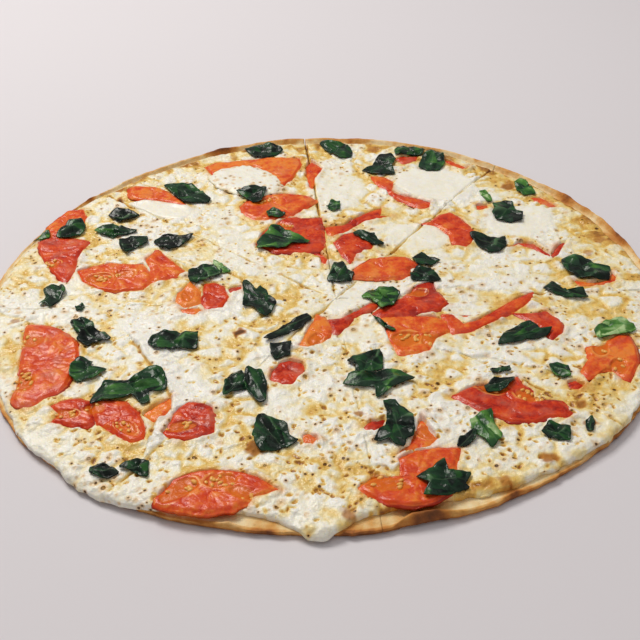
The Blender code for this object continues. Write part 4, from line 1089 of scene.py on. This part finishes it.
def addSeeds(mesh, middle, count, x, y, z, inJelly):
    # flat oval seeds sunk in the jelly
    spots = np.flatnonzero(inJelly > 0.6)
    if not len(spots):
        return
    bm = bmesh.new()
    bm.from_mesh(mesh)
    layers = [bm.verts.layers.float[key] for key in ("seed", "jelly")]
    for spot in dice.choice(spots, min(count, len(spots) // 3), replace=False):
        outward = math.atan2(y[spot] - middle[1], x[spot] - middle[0]) + dice.normal(0, 0.5)
        place = Matrix.Translation(Vector((x[spot], y[spot], z[spot] + 0.1)) * mm)
        place = place @ Matrix.Rotation(outward, 4, "Z") @ Matrix.Rotation(dice.normal(0, 0.25), 4, "Y")
        grown = dice.uniform(0.75, 1.15) * mm
        place = place @ Matrix.Diagonal((*[half * grown for half in tomato["seed"]], 1))
        made = bmesh.ops.create_icosphere(bm, subdivisions=2, radius=1, matrix=place)
        for vert in made["verts"]:
            vert[layers[0]] = 0.75
            vert[layers[1]] = 1
    bm.to_mesh(mesh)
    bm.free()


for number, (name, (node, orange, film, seeds, _, *arc, outline)) in enumerate(tomatoes.items()):
    if node == "cheese":
        low = pizza["bed"] + pizza["gap"] + cheese["underTomato"]
        high = low + tomato["scrapHeight"]
    else:
        low, high = [corner.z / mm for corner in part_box(node)]
    mesh = tomatoPiece(outline, arc, orange, film, int(seeds), number, low, high)
    table.add(finishPiece(name, mesh, tomatoLook, "tomato", [node]))
print("tomatoes ready")


mozzarella = {
    "sides": 110,
    "rings": 26,
    "drape": 3.5,                # how far from a vertex the ground under it is felt
}


def mozzarellaSlice():
    # a slice of soft mozzarella that has slumped over the tomato under it
    mesh, radius, angle, index = roundCap(mozzarella["sides"], mozzarella["rings"])
    x, y = laidOut(mozzarellaRound, np.minimum(radius, 1.02), angle, 0.6, 1.4, 5.0)
    under = np.zeros(len(x))
    for turn in range(6):
        besideX = x + mozzarella["drape"] * math.cos(turn)
        besideY = y + mozzarella["drape"] * math.sin(turn)
        under = np.maximum(under, table.heights(besideX, besideY))
    settle = smoothStep(0.5, 1.0, radius)
    flat = np.mean(under[radius < 0.6])
    ground = flat * (1 - settle) + (0.7 * under + 0.3 * flat) * settle
    edge = np.sqrt(np.clip(1 - np.clip((radius - 0.72) / 0.30, 0, 1) ** 2, 0, 1))
    top = ground - 0.7 + 1.6 * edge + 0.6 * noiseAt(12, x, y, 3) + 0.3 * noiseAt(5, x, y, 4)
    setPlaces(mesh, x, y, np.where(index - mozzarella["rings"] <= 1, top, ground - 0.9))
    golden = 0.06 + 0.2 * smoothStep(0.8, 1.0, radius) + 0.08 * noiseAt(9, x, y, 6)
    setAttributes(mesh, {"brown": 0, "juice": 0, "golden": golden, "fresh": 0.6})
    return finishPiece("mozzarella_round", mesh, cheeseLook, "mozzarella", ["mozzarella_slice"])


table.add(mozzarellaSlice())
print("mozzarella ready")


basil = {
    "pleat": 3.7,                # from one ridge to the next
    "facet": 1.2,
    "lift": 1.9,
    "curl": 0.9,                 # lift of the border
    "thickness": 0.45,
    "float": 0.35,               # clear of what it lies on
}


def creased(u, v, tear, pleats):
    # flat facets between ridges and valleys that run along a leaf, with a painted light and shade for each
    # facet
    knots, heights = [], []
    for row in range(pleats):
        for column in range(5):
            edge = row in (0, pleats - 1)
            inner = 0 < column < 4
            knots.append((-1.8 + 0.9 * column + inner * ((0.25 if row % 2 else 0) + tear.uniform(-0.2, 0.2)),
                          -1.6 + 3.2 * row / (pleats - 1) + (0 if edge else tear.uniform(-0.14, 0.14))))
            heights.append((row % 2) * tear.uniform(0.5, 1.3) + tear.uniform(0, 0.3))
    points, _, faces, *_ = delaunay_2d_cdt([Vector(knot) for knot in knots], [], [], 0, 1e-6)
    lifted, shade = np.zeros(u.shape), np.zeros(u.shape)
    for corners in faces:
        (ax, ay), (bx, by), (cx, cy) = [points[corner] for corner in corners]
        whole = (by - cy) * (ax - cx) + (cx - bx) * (ay - cy)
        first = ((by - cy) * (u - cx) + (cx - bx) * (v - cy)) / whole
        second = ((cy - ay) * (u - cx) + (ax - cx) * (v - cy)) / whole
        third = 1 - first - second
        within = (first > -1e-6) & (second > -1e-6) & (third > -1e-6)
        rise = first * heights[corners[0]] + second * heights[corners[1]] + third * heights[corners[2]]
        lifted = np.where(within, rise, lifted)
        shade = np.where(within, tear.uniform(-1, 1), shade)
    return lifted, shade


def basilPiece(name, node, turn, bright, outline, seed):
    # a torn piece of leaf, pleated and limp, laid over what is below it
    middle, reach = reachOf(outline)
    size = 2 * math.sqrt(np.mean(reach ** 2))
    rings = max(int(size / basil["facet"]), 10)
    mesh, radius, angle, _ = roundCap(max(int(size * 3.2), 42), rings, False)
    x, y = laidOut(outline, radius, angle, 0.2, 0.6, seed * 2.9)
    under = table.heights(x, y)
    ends = np.empty(len(mesh.edges) * 2, np.int32)
    mesh.edges.foreach_get("vertices", ends)
    ends = ends.reshape(-1, 2)
    beside = 1 + np.bincount(ends.ravel(), minlength=len(x))
    ground = under.copy()
    # a taut sheet over the ground, smoothed a few times
    for _ in range(12):
        total = ground.copy()
        np.add.at(total, ends[:, 0], ground[ends[:, 1]])
        np.add.at(total, ends[:, 1], ground[ends[:, 0]])
        ground = np.maximum(total / beside, under)
    tear = np.random.default_rng(900 + seed)
    way = math.radians(turn)
    along = (x - middle[0]) * math.cos(way) + (y - middle[1]) * math.sin(way)
    across = (y - middle[1]) * math.cos(way) - (x - middle[0]) * math.sin(way)
    u, v = along / np.abs(along).max(), across / np.abs(across).max()
    pleats = 2 * max(round(2 * np.abs(across).max() / basil["pleat"]), 1) + 1
    lifted, shade = creased(u + 0.3 * tear.uniform(-1, 1) * v, v, tear, pleats)
    lift = basil["lift"] * min(size / 18, 1) * lifted * (1 - 0.35 * radius ** 4)
    curled = noiseAt(1, np.cos(angle) * 1.4, np.sin(angle) * 1.4, seed * 5.3)
    lift += basil["curl"] * smoothStep(0.6, 1.0, radius) * smoothStep(-0.1, 0.5, curled)
    lift += 0.3 * np.abs(noiseAt(3, x, y, seed * 4.7))
    z = ground + basil["float"] + lift
    # a painted glint along the ridges, in the colour of the veins
    ridge = smoothStep(1.0, 1.35, lifted)
    veinAndGlint = np.maximum(0.5 * np.exp(-((across / 0.7) ** 2)), 0.7 * ridge)
    # painted light and shade: each facet lighter or darker, raised parts lighter
    tone = bright + 0.2 * noiseAt(9, x, y, seed * 0.9) - 0.06 + 0.2 * shade + 0.18 * (lifted - 0.5)
    setPlaces(mesh, x, y, z)
    setAttributes(mesh, {"bright": tone, "veinAndGlint": veinAndGlint})
    piece = finishPiece(name, mesh, basilLook, "basil", [node])
    skin = piece.modifiers.new("thickness", "SOLIDIFY")
    skin.thickness = basil["thickness"] * mm
    skin.offset = 0
    return piece


for number, (name, (node, turn, bright, outline)) in enumerate(basilPieces.items()):
    piece = basilPiece(name, node, turn, bright, outline, number)
    if node != "cheese":
        table.add(piece)
print("basil ready")


studio = {
    # painted tabletop, matt white, faintly pink in the light
    "floor": {"Base Color": linear("#DDD9DE"), "Roughness": 0.8},
    "floorSize": 4000,
    # lights: name, place, size, watts, colour
    "lights": (("window", (-700, 850, 1500), 700, 23.5, "#FFFBF4"),
               ("ceiling", (200, 100, 1700), 1500, 4.3, "#FFFFFF"),
               ("fill", (500, -1300, 900), 1200, 2.0, "#FFF6EC")),
    "sky": "#EFEBE8",
    "skyStrength": 0.285,
}
bm = bmesh.new()
bmesh.ops.create_grid(bm, x_segments=1, y_segments=1, size=studio["floorSize"] * mm)
floor = bpy.data.objects.new("floor", meshFrom(bm, "floor"))
floor.data.materials.append(newMaterial("tabletop_matt_white", studio["floor"])[0])
bpy.context.scene.collection.objects.link(floor)

for name, place, size, watts, colour in studio["lights"]:
    light = bpy.data.lights.new(name, "AREA")
    light.size = size * mm
    light.energy = watts
    light.color = linear(colour)[:3]
    lamp = bpy.data.objects.new(name, light)
    lamp.location = Vector(place) * mm
    lamp.rotation_euler = (-Vector(place)).to_track_quat("-Z", "Y").to_euler()
    bpy.context.scene.collection.objects.link(lamp)
world = bpy.data.worlds.new("studio")
world.use_nodes = True
background = world.node_tree.nodes["Background"]
background.inputs["Color"].default_value = linear(studio["sky"])
background.inputs["Strength"].default_value = studio["skyStrength"]
bpy.context.scene.world = world

view = {
    # read from the photograph: the round's outline and the crossing of the cuts fix it
    "place": (-0.70, -532.70, 359.52),
    "target": (-0.70, -27.87, 0),
    "roll": -1.763,
    "lens": 59.5,
}
camera = bpy.data.cameras.new("camera")
camera.lens = view["lens"]
camera.sensor_width = 36
camera.clip_start = 0.01
eye = bpy.data.objects.new("camera", camera)
ahead = (Vector(view["target"]) - Vector(view["place"])).normalized()
right = Vector((1, 0, 0))
up = right.cross(ahead)
roll = math.radians(view["roll"])
rightRolled = right * math.cos(roll) + up * math.sin(roll)
upRolled = up * math.cos(roll) - right * math.sin(roll)
turn = Matrix((rightRolled, upRolled, -ahead)).transposed()
eye.matrix_world = Matrix.Translation(Vector(view["place"]) * mm) @ turn.to_4x4()
bpy.context.scene.collection.objects.link(eye)
bpy.context.scene.camera = eye
bpy.context.scene.view_settings.view_transform = "Standard"
print("studio ready")
